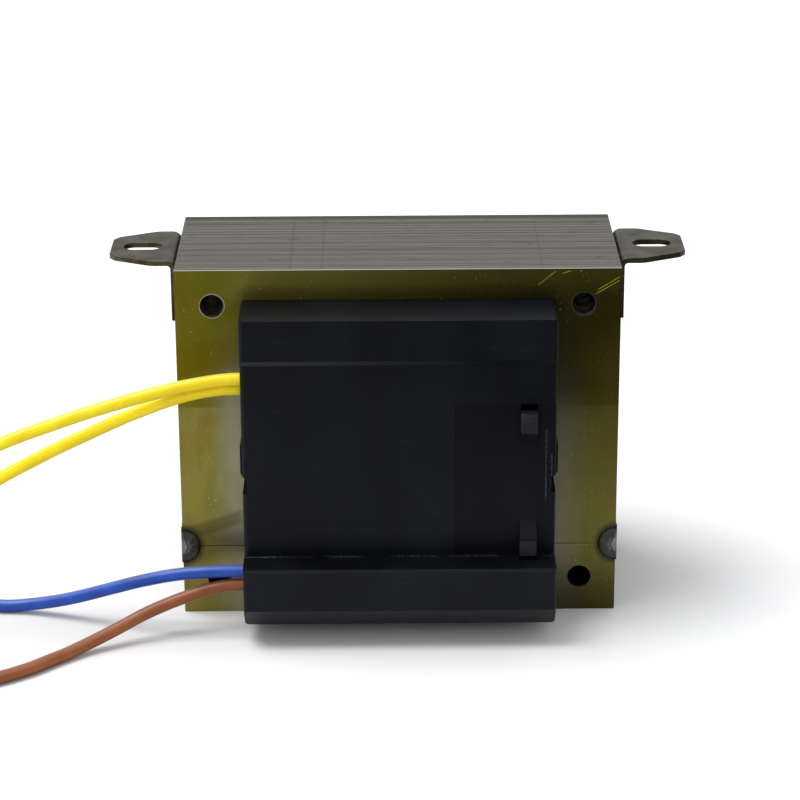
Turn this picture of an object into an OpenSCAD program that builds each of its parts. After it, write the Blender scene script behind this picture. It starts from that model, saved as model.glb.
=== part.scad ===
// Chassis-mounting mains transformer: a welded EI core with two slotted lugs, a two-chamber
// coil under a two-part clip-on cover, and four free leads.
// X runs across the core, Y through the stack (the lead side's cover faces -Y), Z is up.
// The origin is the centre of the base, on the surface that the core stands on.

/* [Core] */
// Width of the centre limb
tongue_w = 32; // [26:1:38]
// Width of each coil window
window_w = 16; // [14:0.5:20]
// Height of each coil window
window_h = 48; // [42:1:60]
// Width of each outer limb
limb_w = 16; // [14:0.5:20]
// Height of the yoke above the windows, and of the I yoke below them
yoke_h = 16; // [14:0.5:20]
// Thickness of the whole stack of laminations
stack_d = 40; // [30:1:60]
// Thickness of one lamination
lam_t = 0.5; // [0.5:0.25:1]
// How far the lamination edges stray from one another
lam_stray = 0.05; // [0.03:0.01:0.08]
// Diameter of the four bolt holes
bolt_d = 5.2; // [4:0.1:6]
// Distance of a bolt hole's axis from the core's edges
bolt_edge = 8; // [7:0.25:9]

/* [Joint weld] */
// Radius of the weld seam between the E and the I laminations
weld_r = 4; // [3:0.25:4.5]
// How far the seam stands proud of the core's side
weld_proud = 0.35; // [0.2:0.05:0.8]
// Length of one ripple of the seam
ripple_l = 2.5; // [2:0.25:4]

/* [Mounting lugs] */
// Thickness of the lug's sheet
lug_t = 1.2; // [1:0.1:2]
// Width of the lug at its bend
lug_w = 22; // [18:0.5:26]
// Width of the lug at its tip
lug_tip_w = 12.7; // [10:0.1:16]
// How far the ear reaches out from the core
lug_reach = 14.8; // [13:0.1:20]
// Height of the leg on the core's side
lug_leg = 13.7; // [11:0.1:20]
// Distance from the core to where the ear starts to narrow
lug_shoulder = 6; // [4:0.25:8]
// Outer radius of the bend
lug_bend = 2; // [2:0.1:3]
// Length of the slot
slot_l = 8.4; // [7:0.1:10]
// Width of the slot
slot_w = 5; // [4:0.1:6]
// Distance of the slot's centre from the core
slot_at = 7.9; // [7.5:0.1:9]
// How far the lugs sit forward of the stack's middle
lug_forward = 2; // [0:0.25:6]

/* [Cover] */
// Wall of the cover mouldings
cover_wall = 1.2; // [1:0.1:1.5]
// How far the cover laps over each outer limb
cover_lap = 1.75; // [1:0.1:3]
// How far the cover reaches above the windows
cover_over = 9.3; // [6:0.1:12]
// How far the cover reaches below the windows
cover_under = 12.5; // [9:0.1:13]
// Depth of the top band, from the core's face
band_d = 14.4; // [13.5:0.1:18]
// Height of the top band
band_h = 8.8; // [6:0.1:12]
// Depth of the main face, from the core's face
face_d = 12.5; // [12:0.1:13.5]
// Depth of the bottom ridge, from the core's face
ridge_d = 20.1; // [16:0.1:24]
// Height of the bottom ridge
ridge_h = 15.1; // [14:0.1:16]
// Chamfer under the bottom ridge
ridge_chamfer = 5.6; // [2:0.1:6]
// Radius of the cover's outer corners
cover_r = 1; // [0.5:0.1:1.5]

/* [Hooks and latches] */
// Width of a wedge hook
hook_w = 3.6; // [3:0.1:5]
// Height of a wedge hook's flat face
hook_face = 4.4; // [3:0.1:5]
// Length of the ramp behind the flat face
hook_ramp = 3.4; // [2:0.1:5]
// How far a hook stands out
hook_out = 2.5; // [1.5:0.1:3]
// Distance of the hooks from the cover's middle
hook_x = 27.8; // [24:0.1:29]
// Distance between the hooks' outer ends
hook_span = 33.2; // [28:0.1:38]
// Height of the mould's window past each hook
mould_gap = 1.3; // [0.8:0.1:2]
// Depth of the shallow recess around the hooks
recess_t = 0.35; // [0.2:0.05:0.6]
// Distance of the recess's edge from the cover's middle
recess_x = 12; // [4:0.5:20]
// Height of the snap finger that shows at each side
finger_h = 17.4; // [14:0.1:20]
// Height of the catch notch
notch_h = 3.8; // [3:0.1:5]
// Depth of the catch notch
notch_t = 1; // [0.6:0.1:1.1]

/* [Coil] */
// Wall and flange thickness of the bobbin
bobbin_t = 1.2; // [0.8:0.1:1.5]
// Build of each winding, out from the bobbin's tube
wind_build = 8.4; // [6:0.1:8.6]
// Share of the winding height that the primary takes
primary_share = 0.5; // [0.4:0.05:0.55]
// Thickness of the tape over each winding
tape_t = 0.3; // [0.1:0.05:0.4]

/* [Leads] */
// Outer diameter of the two secondary leads
sec_od = 2.8; // [2:0.1:3]
// Outer diameter of the two primary leads
pri_od = 2.8; // [2:0.1:2.8]
// Diameter of the splice sleeves inside the cover
sleeve_d = 2.6; // [2:0.1:2.8]
// Length of a splice sleeve
sleeve_l = 5; // [4:0.5:6]
// Diameter of the tinned strands at the leads' ends
tip_d = 1.4; // [1:0.1:1.8]
// Length of the stripped, tinned end
tip_l = 6; // [4:0.5:10]

/* [Hidden] */
$fn = 48;
eps = 0.01;

core_w = tongue_w + 2 * window_w + 2 * limb_w;
core_h = window_h + 2 * yoke_h;
face_y = stack_d / 2;
lam_n = round(stack_d / lam_t);
lam_pitch = stack_d / lam_n;
bond = lam_pitch / 25;
window_x = tongue_w / 2 + window_w;
window_top = yoke_h + window_h;

ripples = round(stack_d / ripple_l);
ripple_pitch = stack_d / ripples;
ripple_depth = 0.2;

cover_x = window_x + cover_lap;
cover_top = window_top + cover_over;
cover_bottom = yoke_h - cover_under;
cover_step = band_d - face_d;
band_z = cover_top - band_h;
ledge_z = cover_bottom + ridge_h;
ledge_edge = 0.6;

fit = 0.3;
skirt_t = cover_wall;
skirt_x = window_x - fit - skirt_t;
skirt_lap = 8;
skirt_h = window_h - 2 * fit;

latch_z = yoke_h + 0.4 * window_h;
hook_mid_z = latch_z + 0.6;
recess_top = hook_mid_z + hook_span / 2 + mould_gap;
bump_t = 0.4;
bump_h = 6;
bump_up = 0.9;
catch_l = 11;
tab_w = 0.7;
tab_h = 2.6;
tab_up = 1.6;
tab_out = 0.15;
finger_t = 2.25;
finger_root = 2.4;
tip_line_h = 5.7;
groove = 0.25;

tube_x = tongue_w / 2 + fit + bobbin_t;
tube_y = face_y + fit + bobbin_t;
bobbin_h = window_h - fit;
flange_x = skirt_x - fit;
flange_y = face_y + face_d - cover_wall - fit;
chambers_h = bobbin_h - 3 * bobbin_t;
primary_h = chambers_h * primary_share;
secondary_h = chambers_h - primary_h;
primary_z = yoke_h + bobbin_t;
divider_z = primary_z + primary_h;
secondary_z = divider_z + bobbin_t;
wire_gap_x = 6;
wire_gap_y = 4;

// Where a lead leaves its splice: inside the cover's left wall, at a depth and a height that
// follow the cover and the windows.
lead_fit = 0.25;
splice_in = 3.4;
function splice_at(depth, z) = [-cover_x + splice_in, -face_y - depth, z];

// Each lead's way, from its splice to its stripped end.
upper_yellow_way = concat([splice_at(9.6, window_top - 5.1)],
   [[-37, -29.8, 58.7], [-43, -30, 57.9], [-49, -30.2, 56.7],
    [-55, -30.5, 55.2], [-61, -31, 53.6], [-67, -31.5, 51.9], [-73, -32.2, 50], [-79, -33, 48.1],
    [-85, -34, 46], [-94, -35, 42], [-104, -36, 36.5], [-113, -37, 30], [-122, -38, 22],
    [-130, -39, 13.5], [-138, -40, 6], [-147, -41.5, 2], [-157, -43, 1.4], [-167, -44, 1.4],
    [-176, -44.5, 1.4]]);
lower_yellow_way = concat([splice_at(8.3, window_top - 7.8)],
   [[-37, -28.2, 56.1], [-43, -28.4, 55.3],
    [-49, -28.2, 53.6], [-55, -27.9, 51.2], [-61, -27.5, 48.5], [-67, -27.1, 45.5],
    [-73, -26.7, 42.5], [-80, -26.3, 38.7], [-87, -26, 34.7], [-96, -25.5, 29], [-105, -25, 22.5],
    [-114, -24.5, 15], [-122, -24, 8.5], [-131, -23.5, 3], [-140, -23, 1.4], [-149, -22.5, 1.4],
    [-158, -22.5, 1.4], [-168, -23, 1.4]]);
blue_way = concat([splice_at(10, ledge_z - 4.3)],
   [[-38, -30, 14.2], [-44, -29.8, 13.9], [-50, -29.2, 13],
    [-57, -28, 11.1], [-63, -26.3, 8.8], [-70, -24.1, 6], [-76, -22, 3.8], [-83, -20, 2],
    [-89, -19.4, 1.4], [-98, -18.5, 1.4], [-108, -17, 1.4], [-118, -14.5, 1.4], [-128, -11, 1.4],
    [-138, -7, 1.4], [-148, -3, 1.4], [-158, 0, 1.4], [-168, 2, 1.4], [-177, 3, 1.4]]);
brown_way = concat([splice_at(10, ledge_z - 7.4)],
   [[-36, -30, 11.1], [-41, -30.5, 10.4], [-46, -31.4, 9.1], [-51, -32.6, 7.6],
    [-56, -34.5, 6], [-62, -37.5, 3.8], [-68, -41.2, 2.1], [-74, -46.5, 1.4], [-79, -51.4, 1.4],
    [-85, -55.7, 1.4], [-93, -60, 1.4], [-102, -64, 1.4], [-112, -66.5, 1.4], [-122, -67.5, 1.4],
    [-132, -67.5, 1.4], [-142, -66.5, 1.4], [-152, -65, 1.4], [-162, -63.5, 1.4],
    [-172, -62.5, 1.4]]);

// --- Shared shapes -------------------------------------------------------------------------

// A rectangle from corner lo to corner hi with all four corners rounded.
module rounded_rect(lo, hi, r) {
    translate([lo.x + r, lo.y]) square([hi.x - lo.x - 2 * r, hi.y - lo.y]);
    translate([lo.x, lo.y + r]) square([hi.x - lo.x, hi.y - lo.y - 2 * r]);
    for (x = [lo.x + r, hi.x - r], y = [lo.y + r, hi.y - r])
        translate([x, y]) circle(r);
}

// Turns a flat outline in (x, z) into a plate that runs from y0 to y1.
module plate_y(y0, y1) {
    translate([0, y1, 0]) rotate([90, 0, 0]) linear_extrude(y1 - y0) children();
}

// Turns a flat outline in (depth from the core's face, z) into a bar across the front cover.
module bar_x(half) {
    translate([half, -face_y, 0]) rotate([90, 0, -90]) linear_extrude(2 * half) children();
}

// A long round hole along Y or Z is two of these and what lies between them.
module slot_z(length, width, h) {
    for (s = [-1, 1])
        translate([s * (length - width) / 2, 0, 0]) cylinder(h, d = width);
    translate([-(length - width) / 2, -width / 2, 0]) cube([length - width, width, h]);
}

// --- Core ----------------------------------------------------------------------------------

// How far lamination i's edges stand out, a steady scatter between 0 and lam_stray.
function stray(i, k) = lam_stray * (0.5 + 0.5 * sin(i * (97 + 41 * k) + 23 * i * i));

// One plate after another, each a rectangle that grows by its own stray on the free edges.
module plates(z0, z1, up, down) {
    for (i = [0 : lam_n - 1])
        translate([-core_w / 2 + stray(i, 1), -face_y + i * lam_pitch, z0 + down * stray(i, 2)])
            cube([core_w - stray(i, 1) - stray(i, 3), lam_pitch + (i < lam_n - 1 ? bond : 0),
                  z1 - z0 - up * stray(i, 4) - down * stray(i, 2)]);
}

module bolt_holes(z) {
    for (s = [-1, 1])
        translate([s * (core_w / 2 - bolt_edge), face_y + 1, z])
            rotate([90, 0, 0]) cylinder(stack_d + 2, d = bolt_d);
}

module weld_grooves() {
    for (s = [-1, 1])
        translate([s * core_w / 2, face_y + 1, yoke_h])
            rotate([90, 0, 0]) cylinder(stack_d + 2, r = weld_r);
}

module e_lamination_stack() {
    color([0.42, 0.41, 0.33]) difference() {
        plates(yoke_h, core_h, 1, 0);
        for (s = [-1, 1])
            translate([s * (tongue_w + window_w) / 2 - window_w / 2, -face_y - 1, yoke_h - 1])
                cube([window_w, stack_d + 2, window_h + 1]);
        bolt_holes(core_h - bolt_edge);
        weld_grooves();
    }
}

module i_lamination_stack() {
    color([0.42, 0.41, 0.33]) difference() {
        plates(0, yoke_h, 0, 1);
        bolt_holes(bolt_edge);
        weld_grooves();
    }
}

// The seam fills its groove and bulges from the core's side in overlapping ripples.
module weld_bead(side) {
    color([0.3, 0.29, 0.27]) intersection() {
        translate([side * core_w / 2, face_y, yoke_h]) rotate([90, 0, 0]) rotate_extrude()
            polygon([[0, 0], for (i = [0 : 2 * ripples])
                         [weld_r - (i % 2 == 0 ? ripple_depth : 0), i * ripple_pitch / 2],
                     [0, stack_d]]);
        translate([side * (core_w / 2 - weld_r) - (weld_r + weld_proud), -face_y, 0])
            cube([2 * (weld_r + weld_proud), stack_d, 2 * yoke_h]);
    }
}

module weld_bead_left() { weld_bead(-1); }
module weld_bead_right() { weld_bead(1); }

// --- Mounting lugs -------------------------------------------------------------------------

// Seen along Y: a leg down the core's side and an ear flush with its top, bent to a round.
module lug_section() {
    difference() {
        union() {
            translate([0, -lug_leg]) square([lug_t, lug_leg - lug_bend]);
            translate([lug_bend, -lug_t]) square([lug_reach - lug_bend, lug_t]);
            translate([lug_bend, -lug_bend]) circle(lug_bend);
        }
        translate([lug_bend, -lug_bend]) circle(lug_bend - lug_t);
        translate([lug_bend, -2 * lug_bend]) square([lug_bend + 1, 2 * lug_bend - lug_t]);
        translate([lug_t, -2 * lug_bend]) square([lug_bend, lug_bend]);
    }
}

// Seen from above: full width at the bend, narrowing from the shoulder to a blunt tip.
module lug_outline() {
    nip = 1.2;
    polygon([[-eps, -lug_w / 2], [lug_shoulder - nip, -lug_w / 2],
             [lug_shoulder, -lug_w / 2 + nip / 4],
             [lug_reach - nip, -lug_tip_w / 2 - nip / 2], [lug_reach, -lug_tip_w / 2 + nip],
             [lug_reach, lug_tip_w / 2 - nip], [lug_reach - nip, lug_tip_w / 2 + nip / 2],
             [lug_shoulder, lug_w / 2 - nip / 4],
             [lug_shoulder - nip, lug_w / 2], [-eps, lug_w / 2]]);
}

module lug_right_shape() {
    color([0.55, 0.53, 0.43]) translate([core_w / 2, -lug_forward, core_h]) difference() {
        intersection() {
            plate_y(-lug_w / 2, lug_w / 2) lug_section();
            translate([0, 0, -lug_leg]) linear_extrude(lug_leg) lug_outline();
        }
        translate([slot_at, 0, -lug_t - 1]) slot_z(slot_l, slot_w, lug_t + 2);
    }
}

module mounting_lug_right() { lug_right_shape(); }
module mounting_lug_left() { mirror([1, 0, 0]) lug_right_shape(); }

// --- Cover ---------------------------------------------------------------------------------

// Seen from the side: top band, main face, ledge, ridge and its chamfered foot. t is how far
// the outline lies inside the outer skin.
module cover_profile(t) {
    edge = t > 0 ? 0 : ledge_edge;
    inner = t > 0 ? eps : 0;
    polygon([[-inner, cover_top - t], [band_d - t, cover_top - t], [band_d - t, band_z],
             [face_d - t, band_z - cover_step], [face_d - t, ledge_z - t],
             [ridge_d - t - edge, ledge_z - t], [ridge_d - t, ledge_z - t - edge],
             [ridge_d - t, cover_bottom + ridge_chamfer + t * 0.4],
             [ridge_d - ridge_chamfer - t * 0.4, cover_bottom + t], [-inner, cover_bottom + t]]);
}

// Seen from above, a band of the given depth with its two outer corners rounded.
module cover_plan(depth) {
    r = cover_r;
    translate([-cover_x, -face_y - depth]) difference() {
        rounded_rect([0, 0], [2 * cover_x, depth + 2 * r], r);
        translate([-1, depth]) square([2 * cover_x + 2, 2 * r + 1]);
    }
}

module cover_block() {
    intersection() {
        bar_x(cover_x) cover_profile(0);
        union() {
            translate([0, 0, band_z - cover_step])
                linear_extrude(cover_top - band_z + cover_step) cover_plan(band_d);
            translate([0, 0, ledge_z - eps])
                linear_extrude(band_z - cover_step - ledge_z + 2 * eps) cover_plan(face_d);
            translate([0, 0, cover_bottom]) linear_extrude(ridge_h) cover_plan(ridge_d);
        }
        plate_y(-face_y - ridge_d - 1, -face_y)
            rounded_rect([-cover_x, cover_bottom], [cover_x, cover_top], cover_r);
    }
}

// The skirt that lines the window: whole up to the lap, then half as thick on one side.
module skirt(outer) {
    for (s = [-1, 1]) scale([s, 1, 1]) {
        half = skirt_t / 2 - 0.05;
        shift = outer ? skirt_t - half : 0;
        translate([skirt_x, -face_y - cover_wall, yoke_h + fit])
            cube([skirt_t, face_y + cover_wall - skirt_lap / 2, skirt_h]);
        translate([skirt_x + shift, -skirt_lap / 2 - eps, yoke_h + fit])
            cube([half, skirt_lap - fit, skirt_h]);
        translate([skirt_x, -face_y - cover_wall, yoke_h + fit])
            cube([cover_x - skirt_x - eps, cover_wall, skirt_h]);
    }
}

module cover_shell(outer) {
    difference() {
        cover_block();
        bar_x(cover_x - cover_wall) cover_profile(cover_wall);
    }
    skirt(outer);
}

// Seen from the side: a flat-faced wedge whose ramp dies into the wall, with its outer end up.
module hook(up) {
    translate([hook_x - hook_w / 2, -face_y - face_d, hook_mid_z]) mirror([0, 0, up ? 0 : 1])
        translate([0, 0, hook_span / 2]) rotate([90, 0, 90]) linear_extrude(hook_w)
            polygon([[recess_t + eps, 0], [-hook_out, 0], [-hook_out, -hook_face],
                     [recess_t + eps, -hook_face - hook_ramp]]);
}

// The windows that the mould's cores leave past the hooks' outer ends: one through the main
// face above the upper hook, one down through the ledge below the lower hook.
module mould_windows() {
    translate([hook_x - hook_w / 2, -face_y - face_d - 1, hook_mid_z + hook_span / 2])
        cube([hook_w, cover_wall + 2, mould_gap]);
    translate([hook_x - hook_w / 2, -face_y - face_d - hook_out, ledge_z - cover_wall - 1])
        cube([hook_w, hook_out + recess_t, cover_wall + 2]);
}

// The catch notch in each side, and the parting lines of the finger and its tip on the right.
module latch_cuts() {
    for (s = [-1, 1]) scale([s, 1, 1])
        translate([cover_x - notch_t, -face_y - face_d - 1, latch_z - notch_h / 2])
            cube([notch_t + 1, catch_l, notch_h]);
    translate([cover_x, -face_y - face_d - eps, latch_z]) {
        translate([-finger_t, 0, -notch_h / 2 - finger_root]) cube([groove, groove, finger_h]);
        translate([-notch_t, 0, notch_h / 2]) cube([groove, groove, tip_line_h]);
    }
}

// Above each notch, a low pad on the side that ends in short slopes, and the pull tab on the
// left of the face.
module latch_bumps() {
    for (s = [-1, 1]) scale([s, 1, 1])
        plate_y(-face_y - face_d + cover_r, -face_y - face_d + catch_l)
            translate([cover_x, latch_z + notch_h / 2])
                polygon([[-eps, eps], [bump_t, bump_up], [bump_t, bump_up + bump_h],
                         [-eps, bump_up + bump_h + bump_t]]);
    translate([-cover_x + notch_t / 2, -face_y - face_d - tab_out,
               latch_z + notch_h / 2 + tab_up])
        cube([tab_w, tab_out + notch_t, tab_h]);
}

// A round-ended slot through the left wall, a little larger than the two leads that share it.
module lead_slot(a, b, od) {
    run = [b.y - a.y, b.z - a.z];
    r = od / 2 + lead_fit;
    translate([-cover_x - 1, a.y, a.z]) rotate([atan2(run.y, run.x), 0, 0]) {
        for (y = [0, norm(run)])
            translate([0, y, 0]) rotate([0, 90, 0]) cylinder(cover_wall + 1.5, r = r);
        translate([0, 0, -r]) cube([cover_wall + 1.5, norm(run), 2 * r]);
    }
}

module front_cover() {
    color([0.1, 0.1, 0.11]) difference() {
        union() {
            difference() {
                cover_shell(true);
                translate([recess_x, -face_y - face_d - 1, ledge_z])
                    cube([cover_x, 1 + recess_t, recess_top - ledge_z]);
            }
            hook(true);
            hook(false);
            latch_bumps();
        }
        mould_windows();
        latch_cuts();
        lead_slot(upper_yellow_way[0], lower_yellow_way[0], sec_od);
        lead_slot(blue_way[0], brown_way[0], pri_od);
    }
}

module rear_cover() {
    color([0.1, 0.1, 0.11]) mirror([0, 1, 0]) difference() {
        union() {
            cover_shell(false);
            latch_bumps();
        }
        latch_cuts();
    }
}

// --- Coil ----------------------------------------------------------------------------------

// A rounded frame around the centre limb, from half sizes (x0, y0) out by t.
module coil_ring(x0, y0, t, z, h) {
    translate([0, 0, z]) linear_extrude(h) difference() {
        rounded_rect([-x0 - t, -y0 - t], [x0 + t, y0 + t], t);
        square([2 * x0, 2 * y0], center = true);
    }
}

module bobbin() {
    color([0.82, 0.8, 0.72]) difference() {
        union() {
            translate([-tube_x, -tube_y, yoke_h]) cube([2 * tube_x, 2 * tube_y, bobbin_h]);
            for (z = [yoke_h, divider_z, yoke_h + bobbin_h - bobbin_t])
                translate([-flange_x, -flange_y, z])
                    cube([2 * flange_x, 2 * flange_y, bobbin_t]);
        }
        translate([-tube_x + bobbin_t, -tube_y + bobbin_t, yoke_h - 1])
            cube([2 * (tube_x - bobbin_t), 2 * (tube_y - bobbin_t), bobbin_h + 2]);
        translate([-flange_x - 1, -flange_y - 1, yoke_h - 1])
            cube([wire_gap_x + 1, wire_gap_y + 1, bobbin_t + 2]);
    }
}

module primary_winding() {
    color([0.72, 0.42, 0.2]) coil_ring(tube_x, tube_y, wind_build, primary_z, primary_h);
}

module secondary_winding() {
    color([0.72, 0.42, 0.2]) coil_ring(tube_x, tube_y, wind_build, secondary_z, secondary_h);
}

module tape_ring(z, h) {
    translate([0, 0, z]) linear_extrude(h) difference() {
        rounded_rect([-tube_x - wind_build - tape_t, -tube_y - wind_build - tape_t],
                     [tube_x + wind_build + tape_t, tube_y + wind_build + tape_t],
                     wind_build + tape_t);
        rounded_rect([-tube_x - wind_build, -tube_y - wind_build],
                     [tube_x + wind_build, tube_y + wind_build], wind_build);
    }
}

module primary_tape() { color([0.85, 0.7, 0.2]) tape_ring(primary_z, primary_h); }
module secondary_tape() { color([0.85, 0.7, 0.2]) tape_ring(secondary_z, secondary_h); }

// --- Leads ---------------------------------------------------------------------------------

// Unit vector along the lead at its point i: from the point before to the point after.
function heading(way, i) =
    let (step = way[min(i + 1, len(way) - 1)] - way[max(i - 1, 0)]) step / norm(step);

// A sleeve of one ring of eight corners at each point of the way, square to the way there.
module lead(way, od) {
    sides = 8;
    count = len(way);
    ring = [for (i = [0 : count - 1])
        let (ahead = i == 0 ? [-1, 0, 0] : heading(way, i),
             across = cross([0, 0, 1], ahead) / norm(cross([0, 0, 1], ahead)),
             up = cross(ahead, across))
        for (k = [0 : sides - 1])
            way[i] + od / 2 * (cos(360 * (k + 0.5) / sides) * across
                               + sin(360 * (k + 0.5) / sides) * up)];
    skin = [for (i = [0 : count - 2], k = [0 : sides - 1])
        let (a = i * sides + k, b = i * sides + (k + 1) % sides)
        each [[a, b, a + sides], [b, b + sides, a + sides]]];
    polyhedron(ring, concat(skin, [[for (k = [sides - 1 : -1 : 0]) k]],
                            [[for (k = [0 : sides - 1]) (count - 1) * sides + k]]));
}

// The crimped joint between the winding's wire and the lead, inside the cover.
module splice(way) {
    color([0.75, 0.72, 0.66]) translate(way[0]) rotate([0, 90, 0])
        cylinder(sleeve_l, d = sleeve_d);
}

// The stripped strands, twisted and tinned, in line with the lead's end.
module tip(way) {
    last = len(way) - 1;
    end_heading = heading(way, last);
    color([0.78, 0.78, 0.76]) translate(way[last])
        rotate([0, acos(end_heading.z), atan2(end_heading.y, end_heading.x)])
            cylinder(tip_l, d = tip_d);
}

module splice_upper_yellow() { splice(upper_yellow_way); }
module splice_lower_yellow() { splice(lower_yellow_way); }
module splice_blue() { splice(blue_way); }
module splice_brown() { splice(brown_way); }

module lead_upper_yellow() { color([0.93, 0.8, 0.1]) lead(upper_yellow_way, sec_od); }
module lead_lower_yellow() { color([0.93, 0.8, 0.1]) lead(lower_yellow_way, sec_od); }
module lead_blue() { color([0.12, 0.28, 0.65]) lead(blue_way, pri_od); }
module lead_brown() { color([0.6, 0.36, 0.22]) lead(brown_way, pri_od); }

module tip_upper_yellow() { tip(upper_yellow_way); }
module tip_lower_yellow() { tip(lower_yellow_way); }
module tip_blue() { tip(blue_way); }
module tip_brown() { tip(brown_way); }

e_lamination_stack();
i_lamination_stack();
weld_bead_left();
weld_bead_right();
mounting_lug_left();
mounting_lug_right();
front_cover();
rear_cover();
bobbin();
primary_winding();
secondary_winding();
primary_tape();
secondary_tape();
splice_upper_yellow();
splice_lower_yellow();
splice_blue();
splice_brown();
lead_upper_yellow();
lead_lower_yellow();
lead_blue();
lead_brown();
tip_upper_yellow();
tip_lower_yellow();
tip_blue();
tip_brown();
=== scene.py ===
"""Laminated chassis transformer with four free leads, dressed for rendering.

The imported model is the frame: each piece goes where its CAD node is, in metres. The core, the
bobbin, the windings, the tapes and the splices keep their CAD shapes and get a finish. The two
moulded covers and the two lugs are rounded copies of theirs, and the leads, their bare ends,
the weld seams and the walls of the bolt holes are surfaces worked out here.
"""

from __future__ import annotations

import logging
import math
from dataclasses import dataclass, field
from enum import Enum
from typing import Optional, Union

import bpy
import numpy as np
from mathutils import Matrix, Vector


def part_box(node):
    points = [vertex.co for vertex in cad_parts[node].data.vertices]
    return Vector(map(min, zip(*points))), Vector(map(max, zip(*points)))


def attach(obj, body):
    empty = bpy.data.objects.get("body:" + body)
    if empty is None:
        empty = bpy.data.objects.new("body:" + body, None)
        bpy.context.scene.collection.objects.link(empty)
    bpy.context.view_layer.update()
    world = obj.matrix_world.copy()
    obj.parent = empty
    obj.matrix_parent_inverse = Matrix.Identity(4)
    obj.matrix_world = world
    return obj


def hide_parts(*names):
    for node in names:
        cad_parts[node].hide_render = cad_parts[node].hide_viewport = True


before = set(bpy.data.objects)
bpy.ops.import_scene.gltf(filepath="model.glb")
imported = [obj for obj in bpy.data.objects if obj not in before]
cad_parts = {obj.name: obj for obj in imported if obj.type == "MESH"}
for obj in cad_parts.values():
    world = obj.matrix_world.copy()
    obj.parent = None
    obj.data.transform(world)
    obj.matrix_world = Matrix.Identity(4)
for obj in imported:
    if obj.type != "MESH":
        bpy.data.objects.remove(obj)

log = logging.getLogger("transformer")

MM = 0.001
TURN = 2 * math.pi
BODY = "root"
UP = (0.0, 0.0, 1.0)
FULL_CHANNEL = 255
DISPLAY_GAMMA = 2.2
TUBE_SHARP = 50
FLAT_SHARP = 30

Colour = tuple[float, float, float]
Point = tuple[float, float, float]
Scale = tuple[float, float, float]
Box = tuple[float, float, float, float]
Scratch = tuple[float, float, float, float]
Upright = tuple[float, float, float]
Lump = tuple[float, float, float]
Span = tuple[float, float]
Blobs = tuple[float, float]
Specks = tuple[float, float, float]
Socket = bpy.types.NodeSocket
Value = Union[float, Colour, Socket]

# A Box is the lowest and highest x and the lowest and highest z, in metres. A Span is two numbers
# that belong together, such as where a mask starts and where it is full. Blobs are a noise's blob
# size and its detail, the size in metres unless its class says otherwise. Specks are the cell's
# size, the speck's radius, both in metres, and the share of cells that have one.


def shade(red: float, green: float, blue: float) -> Colour:
    """Turns a display colour into the linear one that a shader takes.

    Each channel is divided by the full one and raised to the display's power.

    Args:
        red, green, blue: the display colour, 0 to 255.

    Returns:
        The linear colour, 0 to 1.
    """
    return tuple((channel / FULL_CHANNEL) ** DISPLAY_GAMMA for channel in (red, green, blue))


# --- Surfaces -------------------------------------------------------------------------------


def lattice(rows: int, columns: int, close_rows: bool, close_columns: bool) -> np.ndarray:
    """Quads of a grid of points, row after row.

    The quad at row i and column j joins that point to its neighbours in row i + 1 and column
    j + 1, counted round to the start again where the grid closes on itself.

    Args:
        rows: how many rows of points.
        columns: how many points in a row.
        close_rows: whether the last row joins the first.
        close_columns: whether the last point of a row joins the first.

    Returns:
        One row of four point numbers for each quad.
    """
    i = np.arange(rows if close_rows else rows - 1)[:, None]
    j = np.arange(columns if close_columns else columns - 1)[None, :]
    down = (i + 1) % rows
    across = (j + 1) % columns
    corners = (i * columns + j, i * columns + across, down * columns + across, down * columns + j)
    return np.stack([corner.ravel() for corner in corners], axis=1)


def capped_tube_faces(rings: int, sides: int) -> list[list[int]]:
    """Faces of a tube: the quads between its rings, and one face over each end.

    Args:
        rings: how many rings the tube has.
        sides: how many points a ring has.

    Returns:
        The point numbers of each face.
    """
    quads = lattice(rings, sides, False, True)[:, ::-1]
    first = np.arange(sides)[::-1]
    last = (rings - 1) * sides + np.arange(sides)
    return quads.tolist() + [first.tolist(), last.tolist()]


def ring_turns(sides: int) -> np.ndarray:
    """The angles of a ring's points, evenly spread from 0 up to a full turn."""
    return np.arange(sides) / sides * TURN


def make_piece(name: str, points: np.ndarray, faces: list[list[int]], sharp: float) -> bpy.types.Object:
    """Makes a mesh object, smooth but for edges that turn by more than the angle.

    Args:
        name: the piece's name.
        points: one row of x, y, z for each point, in metres.
        faces: the point numbers of each face.
        sharp: the angle in degrees from which an edge stays sharp.

    Returns:
        The object, linked to the scene, at the origin.
    """
    mesh = bpy.data.meshes.new(name)
    mesh.from_pydata(points.tolist(), [], faces)
    smooth(mesh, sharp)
    mesh.update()
    piece = bpy.data.objects.new(name, mesh)
    bpy.context.scene.collection.objects.link(piece)
    return piece


def smooth(mesh: bpy.types.Mesh, sharp: float) -> None:
    """Shades a mesh smooth, but for edges that turn by more than the angle in degrees."""
    mesh.polygons.foreach_set("use_smooth", np.ones(len(mesh.polygons), bool))
    mesh.set_sharp_from_angle(angle=math.radians(sharp))


def unit(rows: np.ndarray) -> np.ndarray:
    """Each row divided by its own length."""
    return rows / np.linalg.norm(rows, axis=-1, keepdims=True)


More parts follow.
